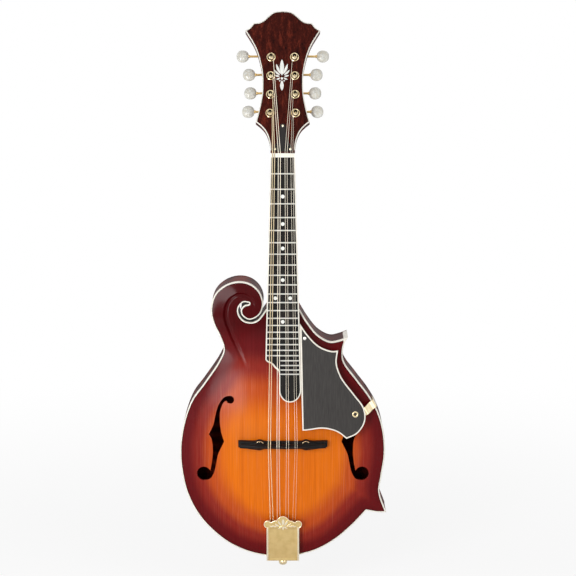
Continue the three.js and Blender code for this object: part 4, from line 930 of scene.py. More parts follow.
HEAD_SHARES = [
    [(0.160, 0.000), (0.167, 0.076), (0.192, 0.134), (0.239, 0.183), (0.302, 0.217),
     (0.358, 0.239)],
    [(0.358, 0.239), (0.337, 0.277), (0.302, 0.353), (0.276, 0.430), (0.271, 0.499),
     (0.275, 0.569), (0.299, 0.639), (0.337, 0.709), (0.390, 0.772), (0.500, 0.864)],
    [(0.500, 0.864), (0.440, 0.883), (0.388, 0.915)],
    [(0.388, 0.915), (0.303, 0.921), (0.249, 0.936), (0.194, 0.962), (0.114, 0.991),
     (0.000, 1.000)],
]
GUARD_SHARES = [
    [(0.000, 0.000), (0.123, -0.103), (0.284, -0.194), (0.474, -0.237), (0.576, -0.234)],
    [(0.576, -0.234), (0.552, -0.343), (0.621, -0.466), (0.812, -0.615), (0.953, -0.731),
     (0.964, -0.848), (0.844, -0.952), (0.675, -0.999)],
    [(0.675, -0.999), (0.536, -0.940), (0.330, -0.910), (0.051, -0.927)],
]
# Place of each round eye of an f-hole in the same shares, its radius and its sides.
HOLE_EYES = ((-0.255, 0.155, 4.9, 28), (-0.385, -0.117, 8.7, 40))
CROWN_SHARES = [(0.000, 1.000), (0.160, 0.985), (0.300, 0.945), (0.400, 0.905),
                (0.560, 0.893), (0.700, 0.865), (0.800, 0.855)]

outline = smooth_line(scaled(BODY_SHARES, BODY_WIDTH, BODY_LENGTH, JOINT), 8)
outline[:, 0] = np.clip(outline[:, 0], -127.74, 129.27)  # the widest that the CAD model is
face_line = inset(outline, BINDING)
crest = smooth_line(scaled([CREST_SHARES], BODY_WIDTH, BODY_LENGTH, JOINT), 10)
TAIL_EDGE = outline[:, 1].min()
TAIL = (Matrix.Translation((0, -PLATE_EDGE - 0.6 * TAIL_BASE_THICKNESS, TAIL_EDGE))
        @ Matrix.Rotation(TAIL_SLOPE, 4, "X"))
ARCH_CENTRE = JOINT - 0.467 * BODY_LENGTH
CREST_RISE, CREST_REACH = 3.3, 14.0
# Inside the crest the face falls into a groove and rises to a low second ridge.
GROOVE = ((0.0, CREST_RISE), (3.4, -0.35), (7.6, 0.8), (CREST_REACH, 0.0))


def arch(x, z):
    s = np.hypot(x / (ARCH_WIDTH / 2), (z - ARCH_CENTRE) / (ARCH_LENGTH / 2))
    return (1 - np.minimum(s, 1) ** 2.4) ** 1.7


def ease(share):
    share = np.clip(share, 0, 1)
    return share * share * (3 - 2 * share)


def crest_rise(x, z):
    """The crest that follows the scroll, with its groove, fading out at both ends."""
    points = np.stack((x, z), 1)
    away, share = distance_to(points, crest, closed=False)
    steps = np.linalg.norm(np.diff(crest, axis=0), axis=1)
    places = np.concatenate(([0], np.cumsum(steps))) / steps.sum()
    foot, ahead = (np.stack([np.interp(share, places, line[:, k]) for k in (0, 1)], 1)
                   for line in (crest, np.gradient(crest, axis=0)))
    off = points - foot
    outside = ahead[:, 0] * off[:, 1] - ahead[:, 1] * off[:, 0] > 0
    to_edge = np.where(within(points, face_line), distance_to(points, face_line)[0], 0)
    outer = CREST_RISE * (to_edge / np.maximum(to_edge + away, 1e-6)) ** 1.1
    away = away / (1 - 0.3 * share)
    inner = np.zeros(len(points))
    for (a, high), (b, low) in zip(GROOVE, GROOVE[1:]):
        part = (away >= a) & (away < b)
        inner[part] = high + (low - high) * ease((away[part] - a) / (b - a))
    return np.where(outside, outer, inner) * ease(share / 0.3) * ease((1 - share) / 0.25)


def top_at(x, z):
    """Height of the soundboard's face, negative to the front."""
    return -PLATE_EDGE - TOP_ARCH * arch(x, z) - crest_rise(x, z)


# Body.

def crest_rows():
    """Rows of points beside the crest, for the faces to follow."""
    along = np.gradient(crest, axis=0)
    along /= np.linalg.norm(along, axis=1)[:, None]
    across = np.stack((-along[:, 1], along[:, 0]), 1)
    rows = []
    for away in np.concatenate((np.linspace(-CREST_REACH, 0, 13), np.linspace(1, CREST_REACH, 14))):
        row = crest - across * away
        clear = distance_to(row, crest, closed=False)[0] > abs(away) - 0.05
        clear &= within(row, face_line) & (distance_to(row, face_line)[0] > 0.8)
        rows.append(row[clear])
    return rows


def f_holes():
    """Both f-holes: the long curve and its two eyes, each with its mirror image."""
    curve = smooth_line(scaled(HOLE_SHARES, BODY_WIDTH, BODY_LENGTH, BRIDGE), 6)
    eyes = [circle(x * BODY_WIDTH, BRIDGE + z * BODY_LENGTH, radius, sides)
            for x, z, radius, sides in HOLE_EYES]
    return [turn(line) for line in (curve, *eyes) for turn in (np.array, mirrored)]


def build_soundboard():
    shape = plate(face_line, top_at, lambda x, z: -TOP_ARCH * arch(x, z), f_holes(), step=3.0,
                  rings=edge_rings(face_line, 1.2, (1.0,)), extra=crest_rows())
    mesh = mesh_of("carved_soundboard", shape, [LACQUER, WOOD, ROSEWOOD], sharp=CREASE)
    flat = points_of(mesh)[:, ::2]
    edge = distance_to(flat, outline)[0]
    mesh.attributes.new("edge", "FLOAT", "POINT").data.foreach_set("value", edge.astype(np.float32))
    # The inside is bare wood and the walls of the f-holes are dark.
    half = len(flat) // 2
    inland = distance_to(flat, face_line)[0] > 0.2
    for face in mesh.polygons:
        corners = list(face.vertices)
        fronts = [i < half for i in corners]
        if not any(fronts):
            face.material_index = 1
        elif not all(fronts) and inland[corners].all():
            face.material_index = 2
    place("carved_soundboard", mesh, "soundboard")

    middle = inset(outline, BINDING - DARK_LINE)
    strip = soft_plate(outline, -PLATE_EDGE, 0.0, radius=0.9, holes=[middle], step=1.4)
    make("soundboard_binding", strip, CREAM, "top_binding", sharp=CREASE)
    make("soundboard_dark_line", plate(middle, -PLATE_EDGE, 0.0, [face_line], step=1.4),
         PLASTIC, "top_binding", sharp=CREASE)


# The scroll's slot lies within this reach of the scroll's eye.
SCROLL_EYE, SLOT_REACH = (-42, -187), 17
BUTTON_RADIUS, BACK_EDGE = 11, 1.2
# The horn's tip, where its protector lies: how far out it starts and ends, and its two heights.
HORN_LEFT, HORN_RIGHT = 0.292 * BODY_WIDTH, 95
HORN_TOP, HORN_BOTTOM = JOINT - 0.080 * BODY_LENGTH, JOINT - 0.118 * BODY_LENGTH


def build_rim_and_back():
    rim = plate(inset(outline, 0.25), 0.0, RIM_DEPTH, [inset(outline, RIM_WALL)], step=6.0)
    rim = mesh_of("bent_rim", rim, [MAPLE, PLASTIC], sharp=CREASE)
    # The walls of the scroll's slot take black plastic as painted shade.
    for face in rim.polygons:  # the walls of the scroll's slot are black
        x, _, z = face.center / MM
        face.material_index = int(math.dist((x, z), SCROLL_EYE) < SLOT_REACH)
    place("bent_rim", rim, "rim")

    button = [(BUTTON_RADIUS * math.cos(t), JOINT + BUTTON_RADIUS * math.sin(t))
              for t in np.linspace(math.pi, 0, 25)]
    line = np.concatenate((outline, button))

    def outside(x, z):
        return RIM_DEPTH + PLATE_EDGE + BACK_ARCH * arch(x, z)

    back = plate(line, lambda x, z: RIM_DEPTH + BACK_ARCH * arch(x, z) * 0.999,
                 rounded(line, outside, BACK_EDGE, -1), rings=edge_rings(line, BACK_EDGE))
    make("carved_back", back, MAPLE, "back_plate", sharp=CREASE)

    proud = inset(outline, -0.12)
    x, z = proud.T
    tip = proud[(x > HORN_LEFT) & (z < HORN_TOP) & (z > HORN_BOTTOM) & (x < HORN_RIGHT)]
    inner = np.array([(HORN_LEFT + 0.3, HORN_BOTTOM + 0.2), (HORN_LEFT, HORN_TOP - 10.2)])
    cap = np.concatenate((tip, inner[within(inner, outline)]))
    make("horn_tip_protector", plate(cap, -PLATE_EDGE - 0.05, RIM_DEPTH - 0.05, step=2.0),
         CREAM, "horn_tip_cap", sharp=CREASE)


# Neck, fingerboard and nut, in the neck's frame.

def board_half(z):
    return (NUT_WIDTH - BOARD_TAPER * z) / 2


def board_line(start, margin):
    """The board from its start to its round end, with the carved step on the bass side."""
    right = board_half(-BOARD_END) - margin
    left = EXTENSION_LEFT + margin
    step = -board_half(-BOARD_STEP) + margin
    b, middle, half = BOARD_BINDING, (left + right) / 2, (right - left) / 2
    curl = smooth_line([[
        (step, -BOARD_STEP + margin * 0.4), (step + b * 1.6, -BOARD_STEP - b * 1.8 + margin * 0.7),
        ((step + left) / 2 - b, -BOARD_STEP - b * 3.2 + margin),
        ((step + left) / 2 + b * 2, -BOARD_STEP - b * 6.6 + margin),
        (left - b * 0.6, -BOARD_STEP - b * 9.2 + margin), (left, -BOARD_STEP - b * 12)]], 5)
    turn = np.linspace(math.pi, CIRCLE, 25)
    end = np.stack((middle + half * np.cos(turn),
                    -BOARD_END + margin + half * 1.15 * (1 + np.sin(turn))), 1)
    return np.concatenate(([(-board_half(start) + margin, start)], curl, end,
                           [(board_half(start) - margin, start)]))


def head_line():
    return both_sides(smooth_line(scaled(HEAD_SHARES, HEAD_WIDTH, HEAD_LENGTH), 8))


FRET_COUNT, FRET_HALF_WIDTH, FRET_HEIGHT = 24, 0.97, 0.82
DOT_RADIUS = 2.3
# The fret after each dot of the fingerboard, and the dot's distance from the middle.
DOTS = ((3, 0), (5, 0), (7, 0), (10, 0), (15, 0), (12, -9), (12, 9))


def build_fingerboard():
    inner, outer = board_line(-0.1, BOARD_BINDING), board_line(-0.1, 0)
    board = plate(inner, 0.0, BOARD_THICKNESS, step=5.0)
    frets = grown(FRETS, bpy.data.meshes.new("seed"), NECK, Count=FRET_COUNT, **{
        "Scale Length": SCALE_LENGTH * MM, "Nut Width": NUT_WIDTH * MM, "Taper": BOARD_TAPER,
        "Margin": (BOARD_BINDING + 0.05) * MM, "Step Place": -BOARD_STEP * MM,
        "Step Left": EXTENSION_LEFT * MM, "Look": STEEL,
        "Crown": (1.0, FRET_HALF_WIDTH * MM, FRET_HEIGHT * MM)})
    make("fingerboard_wood", board, EBONY, "fingerboard", matrix=NECK)
    place("frets", frets, "fingerboard")
    edging = soft_plate(outer, 0.0, BOARD_THICKNESS, radius=0.5, holes=[inner], step=2.0,
                        shares=(0.3, 1.0))
    make("fingerboard_edging", edging, CREAM, "fingerboard_binding", matrix=NECK)
    spots = [(x, 0, (fret_place(n) + fret_place(n - 1)) / 2) for n, x in DOTS]
    dot = lathe([(0.4, 0), (0.4, DOT_RADIUS), (-0.04, DOT_RADIUS), (-0.04, 0)], sides=28)
    place("position_dots", items(spots, dot, SHELL, NECK), "fingerboard")


# Depth of the neck behind the board at shares of the way to the joint: of the shaft's own
# depth, then of the heel's.
SHAFT_DEPTH, LEAST_HEEL, SQUARENESS = 15.5, 18.5, 0.85
# The tongue under the end of the board: its start on the way to the joint, and its back.
TONGUE_START, TONGUE_BACK = 0.9, 19.0
SHAFT_SHARES = ((-0.045, 0.7), (0, 1), (0.1, 1.04), (0.4, 1.09), (0.66, 1.13))
HEEL_SHARES = ((0.8, 0.40), (0.86, 0.47), (0.885, 0.56), (0.905, 0.70), (0.925, 0.88),
               (0.96, 0.985), (0.998, 0.995))


def build_neck():
    length = -JOINT
    heel = RIM_DEPTH + math.sin(NECK_ANGLE) * length
    depths = np.array([(t, d * SHAFT_DEPTH) for t, d in SHAFT_SHARES]
                      + [(t, max(d * heel, LEAST_HEEL)) for t, d in HEEL_SHARES])
    ends = depths[:, 0]
    steps = [np.linspace(a, b, 5)[:-1] for a, b in zip(ends[:-1], ends[1:])] + [ends[-1:]]
    turn = np.linspace(0, math.pi, 25)
    across = np.sign(np.cos(turn)) * np.abs(np.cos(turn)) ** SQUARENESS
    round_back = np.abs(np.sin(turn)) ** SQUARENESS
    rings = []
    for t in np.concatenate(steps):
        z = -t * length
        depth = np.interp(t, ends, depths[:, 1])
        rings.append(np.stack((board_half(z) * across, BOARD_THICKNESS + depth * round_back,
                               np.full(len(turn), z)), 1))
    shaft = moved(skin(rings), NECK)
    tongue = moved(plate(board_line(-length * TONGUE_START, 2.2), BOARD_THICKNESS, TONGUE_BACK,
                         step=6.0), NECK)
    head = moved(plate(head_line(), HEADPLATE, HEAD_THICKNESS, step=8.0), HEAD)
    make("carved_neck", fused([shaft, tongue, head]), MAPLE, "neck", sharp=40)


# Headstock, in its own frame.

# From the middle to each post of a row and to its button, in shares of the posts' pitch.
POST_SHARES = ((0.665, 1.812), (0.644, 1.704), (0.627, 1.777), (0.614, 2.116))


def posts():
    """Side, x, z and the button's reach of each post: up the bass row, down the treble row."""
    bass, treble = ([(side, side * near * POST_PITCH, FIRST_POST + i * POST_PITCH,
                      (far - near) * POST_PITCH) for i, (near, far) in enumerate(POST_SHARES)]
                    for side in (-1, 1))
    return bass + treble[::-1]


def leaf(x, z, length, width, angle, bend=0.0):
    """A pointed leaf from its middle, as an outline."""
    t = np.linspace(0, 1, 15)
    half = width / 2 * np.sin(np.pi * t) ** 0.8
    along = (t - 0.5) * length
    sway = bend * np.sin(np.pi * t)
    line = np.concatenate((np.stack((sway + half, along), 1),
                           np.stack((sway - half, along), 1)[::-1][1:-1]))
    c, s = math.cos(angle), math.sin(angle)
    return np.stack((x + line[:, 0] * c - line[:, 1] * s, z + line[:, 0] * s + line[:, 1] * c), 1)


# Angle, length, width and distance from the middle of each pair of the palmette's leaves.
PALMETTE = ((0.4, 14.0, 3.0, 10.6), (0.82, 9.6, 2.5, 7.8), (1.32, 6.2, 2.2, 5.8),
            (2.0, 5.4, 2.0, 5.0))


def palmette():
    """Pearl leaves that fan out from a middle, over a drooping one."""
    cx, cz = -1.0, 101.5
    shapes = [leaf(cx, cz + 10.2, 20.5, 5.2, 0), leaf(cx, cz - 12.4, 13.0, 4.4, 0),
              circle(cx, cz - 3.6, 1.5, sides=24)]
    for side in (-1, 1):
        for angle, length, width, out in PALMETTE:
            shapes.append(leaf(cx + side * out * math.sin(angle), cz - 1.4 + out * math.cos(angle),
                               length, width, -side * angle, side * 0.7))
        shapes.append(circle(cx + side * 2.6, cz - 6.6, 0.9, sides=20))
    return merge(*[plate(shape, -0.03, 0.5, step=1.5) for shape in shapes])


def build_headstock():
    outer, start = head_line(), NUT_LENGTH + 0.6

    def cut_at_nut(line, half):
        return np.concatenate(([(half, start)], line[line[:, 1] > start], [(-half, start)]))

    edge = cut_at_nut(outer, HALF_AT_HEADPLATE)
    middle = cut_at_nut(inset(outer, HEAD_BINDING - DARK_LINE), HALF_AT_VENEER + DARK_LINE)
    face = cut_at_nut(inset(outer, HEAD_BINDING), HALF_AT_VENEER)
    bores = [circle(x, z, POST_RADIUS + 0.35, sides=24) for _, x, z, _ in posts()]
    access = [(-3.6, 8.4), (3.6, 8.4), (3.6, 22), (-3.6, 22)]
    make("headplate_veneer", plate(face, 0.0, HEADPLATE, [*bores, access], step=6.0), ROSEWOOD,
         "headplate", matrix=HEAD)
    edging = soft_plate(edge, 0.0, HEADPLATE, radius=0.6, holes=[middle], step=2.0, shares=())
    make("headstock_edging", edging, CREAM, "headstock_binding", matrix=HEAD, sharp=CREASE)
    make("headstock_dark_line", plate(middle, 0.0, HEADPLATE, [face], step=2.0), PLASTIC,
         "headstock_binding", matrix=HEAD, sharp=CREASE)
    ferrule = turned_ring([(0.4, 3.95), (0.4, 5.45), (-0.5, 5.45), (-1.05, 5.25), (-1.28, 4.8),
                           (-1.15, 4.25), (-0.5, 3.95)], 40)
    place("post_ferrules", items([(x, 0, z) for _, x, z, _ in posts()], ferrule, BRIGHT_GOLD, HEAD),
          "headplate")
    make("pearl_palmette", palmette(), SHELL, "headplate", matrix=HEAD)

    half, tip, low, length, thick = 12.0, 3.75, 6.6, 35.0, 1.9
    bell = both_sides(smooth_line([[
        (half, low), (half * 0.92, low + length * 0.12), (half * 0.52, low + length * 0.4),
        (tip * 1.05, low + length * 0.78), (tip * 0.8, low + length * 0.95),
        (0, low + length)]], 6))
    make("bell_cover", soft_plate(bell, -thick, -GAP, radius=0.6, step=2.5), PLASTIC,
         "truss_rod_cover", matrix=HEAD)
    spots = [(0, -thick, 38.4), (-9.3, -thick, 9.5), (9.3, -thick, 9.5)]
    place("bell_screws", items(spots, screw_head(1.4), PALE_GOLD, HEAD), "truss_rod_cover")


def screw_head(radius):
    """A domed screw head with a cross cut in it, its underside at height 0.25."""
    dome = lathe([(0.25, 0), (0.25, radius), (-0.05, radius), (-0.32, radius * 0.8),
                  (-0.45, radius * 0.45), (-0.48, 0)], sides=24)
    long, thin = radius * 0.6, radius * 0.12
    return difference(dome, [box(-a, a, -1.0, -0.22, -b, b)
                             for a, b in ((long, thin), (thin, long))])


# Tuning machines, in the headstock's frame.

PLATE_BACK = PLATE_FRONT + PLATE_THICKNESS
GEAR_RADIUS = GEAR_TEETH * WORM_PITCH / CIRCLE
WORM_RISE = GEAR_RADIUS + WORM_PITCH_RADIUS
GEAR_PLANE = PLATE_BACK + GAP + WORM_PITCH_RADIUS + TOOTH_HEIGHT
EAR_REACH = WORM_PITCH * WORM_TURNS / 2 + 1.4 * SHAFT_RADIUS + EAR_THICKNESS / 2


# Outlines of a gear's tooth and of the worm's thread, each point across and up; a tooth is
# measured in its own half width and height, a thread in millimetres and its own height.
TOOTH = ((-1.0925, -1.3), (-0.7, 0.3), (-0.5, 0.9), (0.5, 0.9), (0.7, 0.3), (1.0925, -1.3))
THREAD = ((-0.4125, 0), (-0.2, 0.94), (-0.1, 1), (0.1, 1), (0.2, 0.94), (0.4125, 0))


def gear():
    """A wheel with slanting teeth and a screw at its hub."""
    lead = WORM_PITCH / (CIRCLE * WORM_PITCH_RADIUS)
    rings = []
    for end in np.linspace(-1, 1, 5):
        twist = end * GEAR_FACE / 2 * lead / GEAR_RADIUS
        shy = 0.12 if abs(end) == 1 else 0.0
        ring = []
        for k in range(GEAR_TEETH):
            for share, rise in TOOTH:
                angle = k / GEAR_TEETH * CIRCLE + share * 0.36 / GEAR_RADIUS + twist
                r = GEAR_RADIUS + rise * TOOTH_HEIGHT - shy
                ring.append((r * math.sin(angle), GEAR_PLANE + end * GEAR_FACE / 2,
                             r * math.cos(angle)))
        rings.append(ring)
    low = GEAR_PLANE + GEAR_FACE / 2
    screw = lathe([(low - 0.2, 0), (low - 0.2, 2.1), (low + 0.5, 2.05), (low + 0.75, 1.6),
                   (low + 0.8, 0)], sides=24)
    slit = box(-2.4, 2.4, low + 0.4, low + 1.4, -0.22, 0.22)
    return [skin(rings), difference(screw, [slit])]


def worm(side, reach):
    """A right-handed thread between two ears, on the shaft that carries the button."""
    core, steps = 1.1, 28
    crest_height, rings = WORM_PITCH_RADIUS + TOOTH_HEIGHT * 0.9 - core, []
    for i in range(WORM_TURNS * steps + 1):
        turns = i / steps - WORM_TURNS / 2
        angle, x = turns * CIRCLE, turns * WORM_PITCH + WORM_PITCH / 2
        rise = crest_height * min(1.0, 0.15 + min(i, WORM_TURNS * steps - i) / 6)
        section = [(x + across, core + rise * up) for across, up in THREAD]
        rings.append([(x, r * math.sin(angle), -r * math.cos(angle)) for x, r in section])
    ear = EAR_REACH + EAR_THICKNESS / 2 + 0.1
    end, neck = reach - 3.0, reach - KEY_LENGTH / 2
    profile = [(-ear - 1.35, 0), (-ear - 1.3, 1.5), (-ear - 1.0, 1.95), (-ear - 0.05, 2.0),
               (-ear, SHAFT_RADIUS), (ear, SHAFT_RADIUS), (ear + 0.1, 1.85),
               (ear + 1.0, 1.85), (ear + 1.2, SHAFT_RADIUS), (neck - 1.7, SHAFT_RADIUS),
               (neck - 1.5, 2.0), (neck + 0.9, 2.0), (end, SHAFT_RADIUS), (end, 0)]
    return skin(rings), lathe([(side * h, r) for h, r in profile][::side], "x", sides=28)


def button(side, reach):
    """A pearl button: nearly round to the front, flattened between finger and thumb."""
    sides, rings = 40, []
    turn = np.linspace(0, CIRCLE, sides + 1)[:-1]
    c, s = np.cos(turn), np.sin(turn)
    for v in np.linspace(0.02, math.pi - 0.02, 25):
        along = -math.copysign(abs(math.cos(v)) ** 0.9, math.cos(v))
        wide = math.sin(v) ** 0.9
        rings.append(np.stack((
            np.full(sides, side * (reach + (KEY_LENGTH / 2 + 0.3) * along)),
            KEY_THICKNESS / 2 * wide ** 0.9 * np.sign(s) * np.abs(s) ** 0.85,
            (KEY_WIDTH / 2 + 0.6) * wide * np.sign(c) * np.abs(c) ** 0.92), 1))
    return skin(rings)


WINDS, WIND_STEPS, FIRST_WIND = 2.25, 32, 2.7


def winding(size, nut_x, post):
    """The string from the nut round its post to the hole's mouth, in the headstock's frame.

    The angle and the height of that mouth come with it.
    """
    side, px, pz, _ = post
    radius, pitch = POST_WAIST + GAP + size / 2, size + 0.5
    arrive = HEAD.inverted() @ NECK @ Vector((nut_x, -STRING_AT_NUT - size / 2, NUT_LENGTH))
    dx, dz = arrive.x - px, arrive.z - pz
    first = math.atan2(dz, dx) - side * math.acos(radius / math.hypot(dx, dz))
    line = []
    for i in range(int(WINDS * WIND_STEPS) + 1):
        angle = first - side * i / WIND_STEPS * CIRCLE
        height = FIRST_WIND + size / 2 + pitch * i / WIND_STEPS
        line.append((px + radius * math.cos(angle), -height, pz + radius * math.sin(angle)))
    return line, angle, height


# Bass to treble: diameter, and places at the nut, the saddle and the tail.
STRINGS = [
    (0.98, -12.25, -17.8, -15.4), (0.98, -9.65, -15.1, -11.8), (0.66, -5.3, -7.2, -6.9),
    (0.66, -2.7, -4.5, -3.4), (0.41, 2.7, 4.5, 3.4), (0.41, 5.3, 7.2, 6.9),
    (0.3, 9.65, 15.1, 11.8), (0.3, 12.25, 17.8, 15.4)]


def build_strings():
    """The strings; returns where each meets its post, with its size and look."""
    ends = []
    for number, ((size, nut_x, saddle_x, tail_x), post) in enumerate(zip(STRINGS, posts()), 1):
        line, angle, height = winding(size, nut_x, post)
        look, node = BRONZE if number < 3 else STRING_STEEL, f"string_{number}"
        ends.append((angle, height, size, look))
        rest, stop, saddle = (NECK @ Vector((x, -y - size / 2, z)) for x, y, z in (
            (nut_x, STRING_AT_NUT, 0), (nut_x, STRING_AT_NUT, NUT_LENGTH),
            (saddle_x, STRING_AT_SADDLE, -SCALE_LENGTH - COMPENSATION)))
        reach = HOOK_WIDTH / 2 + size / 2 + GAP
        depth = -TAIL_BASE_THICKNESS - HOOK_HEIGHT * 0.55
        hook = TAIL @ Vector((tail_x, depth, HOOK_PLACE + reach))
        wound = [rest, stop] + [HEAD @ Vector(p) for p in line]
        place(f"string_{number}_at_post", wire(wound, size / 2, look), node)
        for part, start in (("speaking", rest), ("tail", hook)):
            span = wire([start, saddle], size / 2, look)
            piece = place(f"string_{number}_{part}", span, node, None)
            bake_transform(piece)
        # The loop round its hook, with the twist that closes it.
        loop = [(tail_x + reach * math.sin(t), depth, HOOK_PLACE - reach * math.cos(t))
                for t in np.linspace(-0.86 * math.pi, 0.86 * math.pi, 27)]
        tip = (tail_x, depth, HOOK_PLACE + reach + 1.6)
        closed = wire([tip, *loop, tip], size * 0.36, look, sides=8, matrix=TAIL)
        place(f"string_{number}_loop", closed, node)
    return ends


POST_PROFILE = [
    (-7.7, 0), (-7.7, 1.3), (-8.3, 1.95), (-9.1, 2.3), (-9.2, 2.45), (-9.2, 2.7), (-9.0, 2.92),
    (-8.3, 3.0), (-7.9, 2.9), (-7.4, 2.2), (-7.1, POST_WAIST), (-2.5, POST_WAIST), (-2.1, 2.4),
    (-1.7, 3.0), (GEAR_PLANE - 1.4, 3.0), (GEAR_PLANE - 1.4, 0)]
# The bowl in a post's end; its part above the height BOWL_SHADE is painted dark, as painted shade.
BOWL_RADIUS, BOWL_TOP, BOWL_FLOOR, BOWL_SHADE = 2.3, -9.15, -7.6, -0.7


def build_posts(ends):
    for index, ((side, x, z, reach), end) in enumerate(zip(posts(), ends), 1):
        angle, height, size, look = end
        turn = Matrix.Rotation(-angle, 4, "Y")
        round_hole = circle(-height, 0, 0.8, sides=12)
        hole = skin([np.insert(round_hole, 0, x_end, 1) for x_end in (-5.0, 5.0)])
        # The string's end lies in the hole and turns with the post.
        thread = lathe([(-1.7, 0), (-1.7, size / 2), (1.9, size / 2), (1.9, 0)], "x",
                       (-height, 0), sides=12)
        post = difference(lathe(POST_PROFILE), [moved(hole, turn)])
        at = HEAD @ Matrix.Translation((x, 0, z))
        mesh = mesh_of("string_post", merge(post, *gear(), moved(thread, turn)),
                       [BRIGHT_GOLD, PAINTED_BOWL_SHADE, look], at)
        back = at.inverted()
        # The upper part of each post's bowl takes the dark metal as painted shade.
        for face in mesh.polygons:
            spot = back @ (face.center / MM)
            bowl = math.hypot(spot.x, spot.z) < BOWL_RADIUS and BOWL_TOP < spot.y < BOWL_FLOOR
            face.material_index = int(bowl and spot.z > BOWL_SHADE)
        for face in mesh.polygons[-len(thread[1]):]:
            face.material_index = 2
        place(f"string_post_{index}_dressed", mesh, f"string_post_{index}", f"post_{index}")
        at = HEAD @ Matrix.Translation((x, GEAR_PLANE, z + WORM_RISE))
        make(f"worm_shaft_{index}_dressed", merge(*worm(side, reach)), AGED_GOLD,
             f"worm_shaft_{index}", f"key_{index}", at)
        make(f"pearl_button_{index}", button(side, reach), PEARL, f"tuner_button_{index}",
             f"key_{index}", at, sharp=60)


def ears(row):
    """The ears that hold each worm at both its ends."""
    out = []
    turn = np.linspace(0, math.pi, 15)
    for _, x, z, _ in row:
        rise = z + WORM_RISE
        flap = np.concatenate((
            [(PLATE_BACK - 0.6, rise - EAR_HEIGHT / 2), (PLATE_BACK - 0.6, rise + EAR_HEIGHT / 2)],
            np.stack((GEAR_PLANE + EAR_HEIGHT / 2 * np.sin(turn),
                      rise + EAR_HEIGHT / 2 * np.cos(turn)), 1)))
        bore = circle(GEAR_PLANE, rise, SHAFT_RADIUS + 0.1, sides=20)
        for middle in (x - EAR_REACH, x + EAR_REACH):
            points, faces = plate(flap, middle - EAR_THICKNESS / 2, middle + EAR_THICKNESS / 2,
                                  [bore], step=1.6)
            out.append((points[:, [1, 0, 2]], faces))
    return out


def build_machine_plates():
    half, corner, soft = 8.5, 4.25, 0.35
    for name, row in (("bass", posts()[:4]), ("treble", posts()[:3:-1])):
        (_, x, z, _), (_, last_x, last_z, _) = row[0], row[3]
        low, high = z - POST_PITCH * 0.42, last_z + WORM_RISE + EAR_HEIGHT
        slant = (last_x - x) / (last_z - z)
        bottom, top = (x + slant * (end - z) for end in (low, high))
        line = turned_left(np.array([
            (bottom - half + corner, low), (bottom + half - corner, low),
            (bottom + half, low + corner), (top + half, high - corner),
            (top + half - corner, high), (top - half + corner, high),
            (top - half, high - corner), (bottom - half, low + corner)]))
        bores = [circle(post_x, post_z, POST_RADIUS + 0.6, sides=28)
                 for _, post_x, post_z, _ in row]
        sheet = plate(line, PLATE_FRONT, rounded(line, PLATE_BACK, soft, -1), bores,
                      rings=edge_rings(line, soft, (1.0,)))
        node = f"tuner_plate_{name}"
        make(f"machine_plate_{name}", merge(sheet, *ears(row)), GOLD, node, matrix=HEAD)
        between_posts = [post[2] + POST_PITCH * 0.75 for post in row[:3]]
        spots = [(x + slant * (end - z), PLATE_BACK, end)
                 for end in (low + 3.4, *between_posts, high - 2.6)]
        screws = items(spots, screw_head(1.3), BRIGHT_GOLD, HEAD, (math.pi, 0, 0))
        place(f"machine_screws_{name}", screws, node)


# Bridge.

def stud(x, top):
    """A threaded stud that stands in the foot."""
    steps, rings = 18, []
    for i in range(THREAD_TURNS * steps):
        turns = i / steps
        y, angle = top + 0.4 - turns * THREAD_PITCH, turns * CIRCLE
        rings.append([(x + r * math.cos(angle), y + dy, BRIDGE + r * math.sin(angle))
                      for dy, r in ((-0.3, 1.35), (0.0, 1.72), (0.3, 1.35))])
    core = lathe([(top + 0.6, 0), (top + 0.6, 1.4), (top - 6.9, 1.4), (top - 7.0, 1.2),
                  (top - 7.0, 0)], centre=(x, BRIDGE), sides=24)
    return merge(core, skin(rings))


def wheel(x, front):
    """A knurled wheel with a bore for its stud."""
    sides, rings = 96, []
    turn = np.arange(sides) / sides * CIRCLE
    notch = 0.34 * (np.arange(sides) % 4 > 1)
    for y, shy in ((front, 0.5), (front + 0.3, 0.0), (front + WHEEL_THICKNESS - 0.3, 0.0),
                   (front + WHEEL_THICKNESS, 0.5)):
        r = WHEEL_RADIUS * 0.88 - shy - notch * (shy == 0)
        rings.append(np.stack((x + r * np.cos(turn), np.full(sides, y),
                               BRIDGE + r * np.sin(turn)), 1))
    bore = lathe([(front - 1, 0), (front - 1, 1.9), (front + 4, 1.9), (front + 4, 0)],
                 centre=(x, BRIDGE), sides=24)
    return difference(skin(rings), [bore])


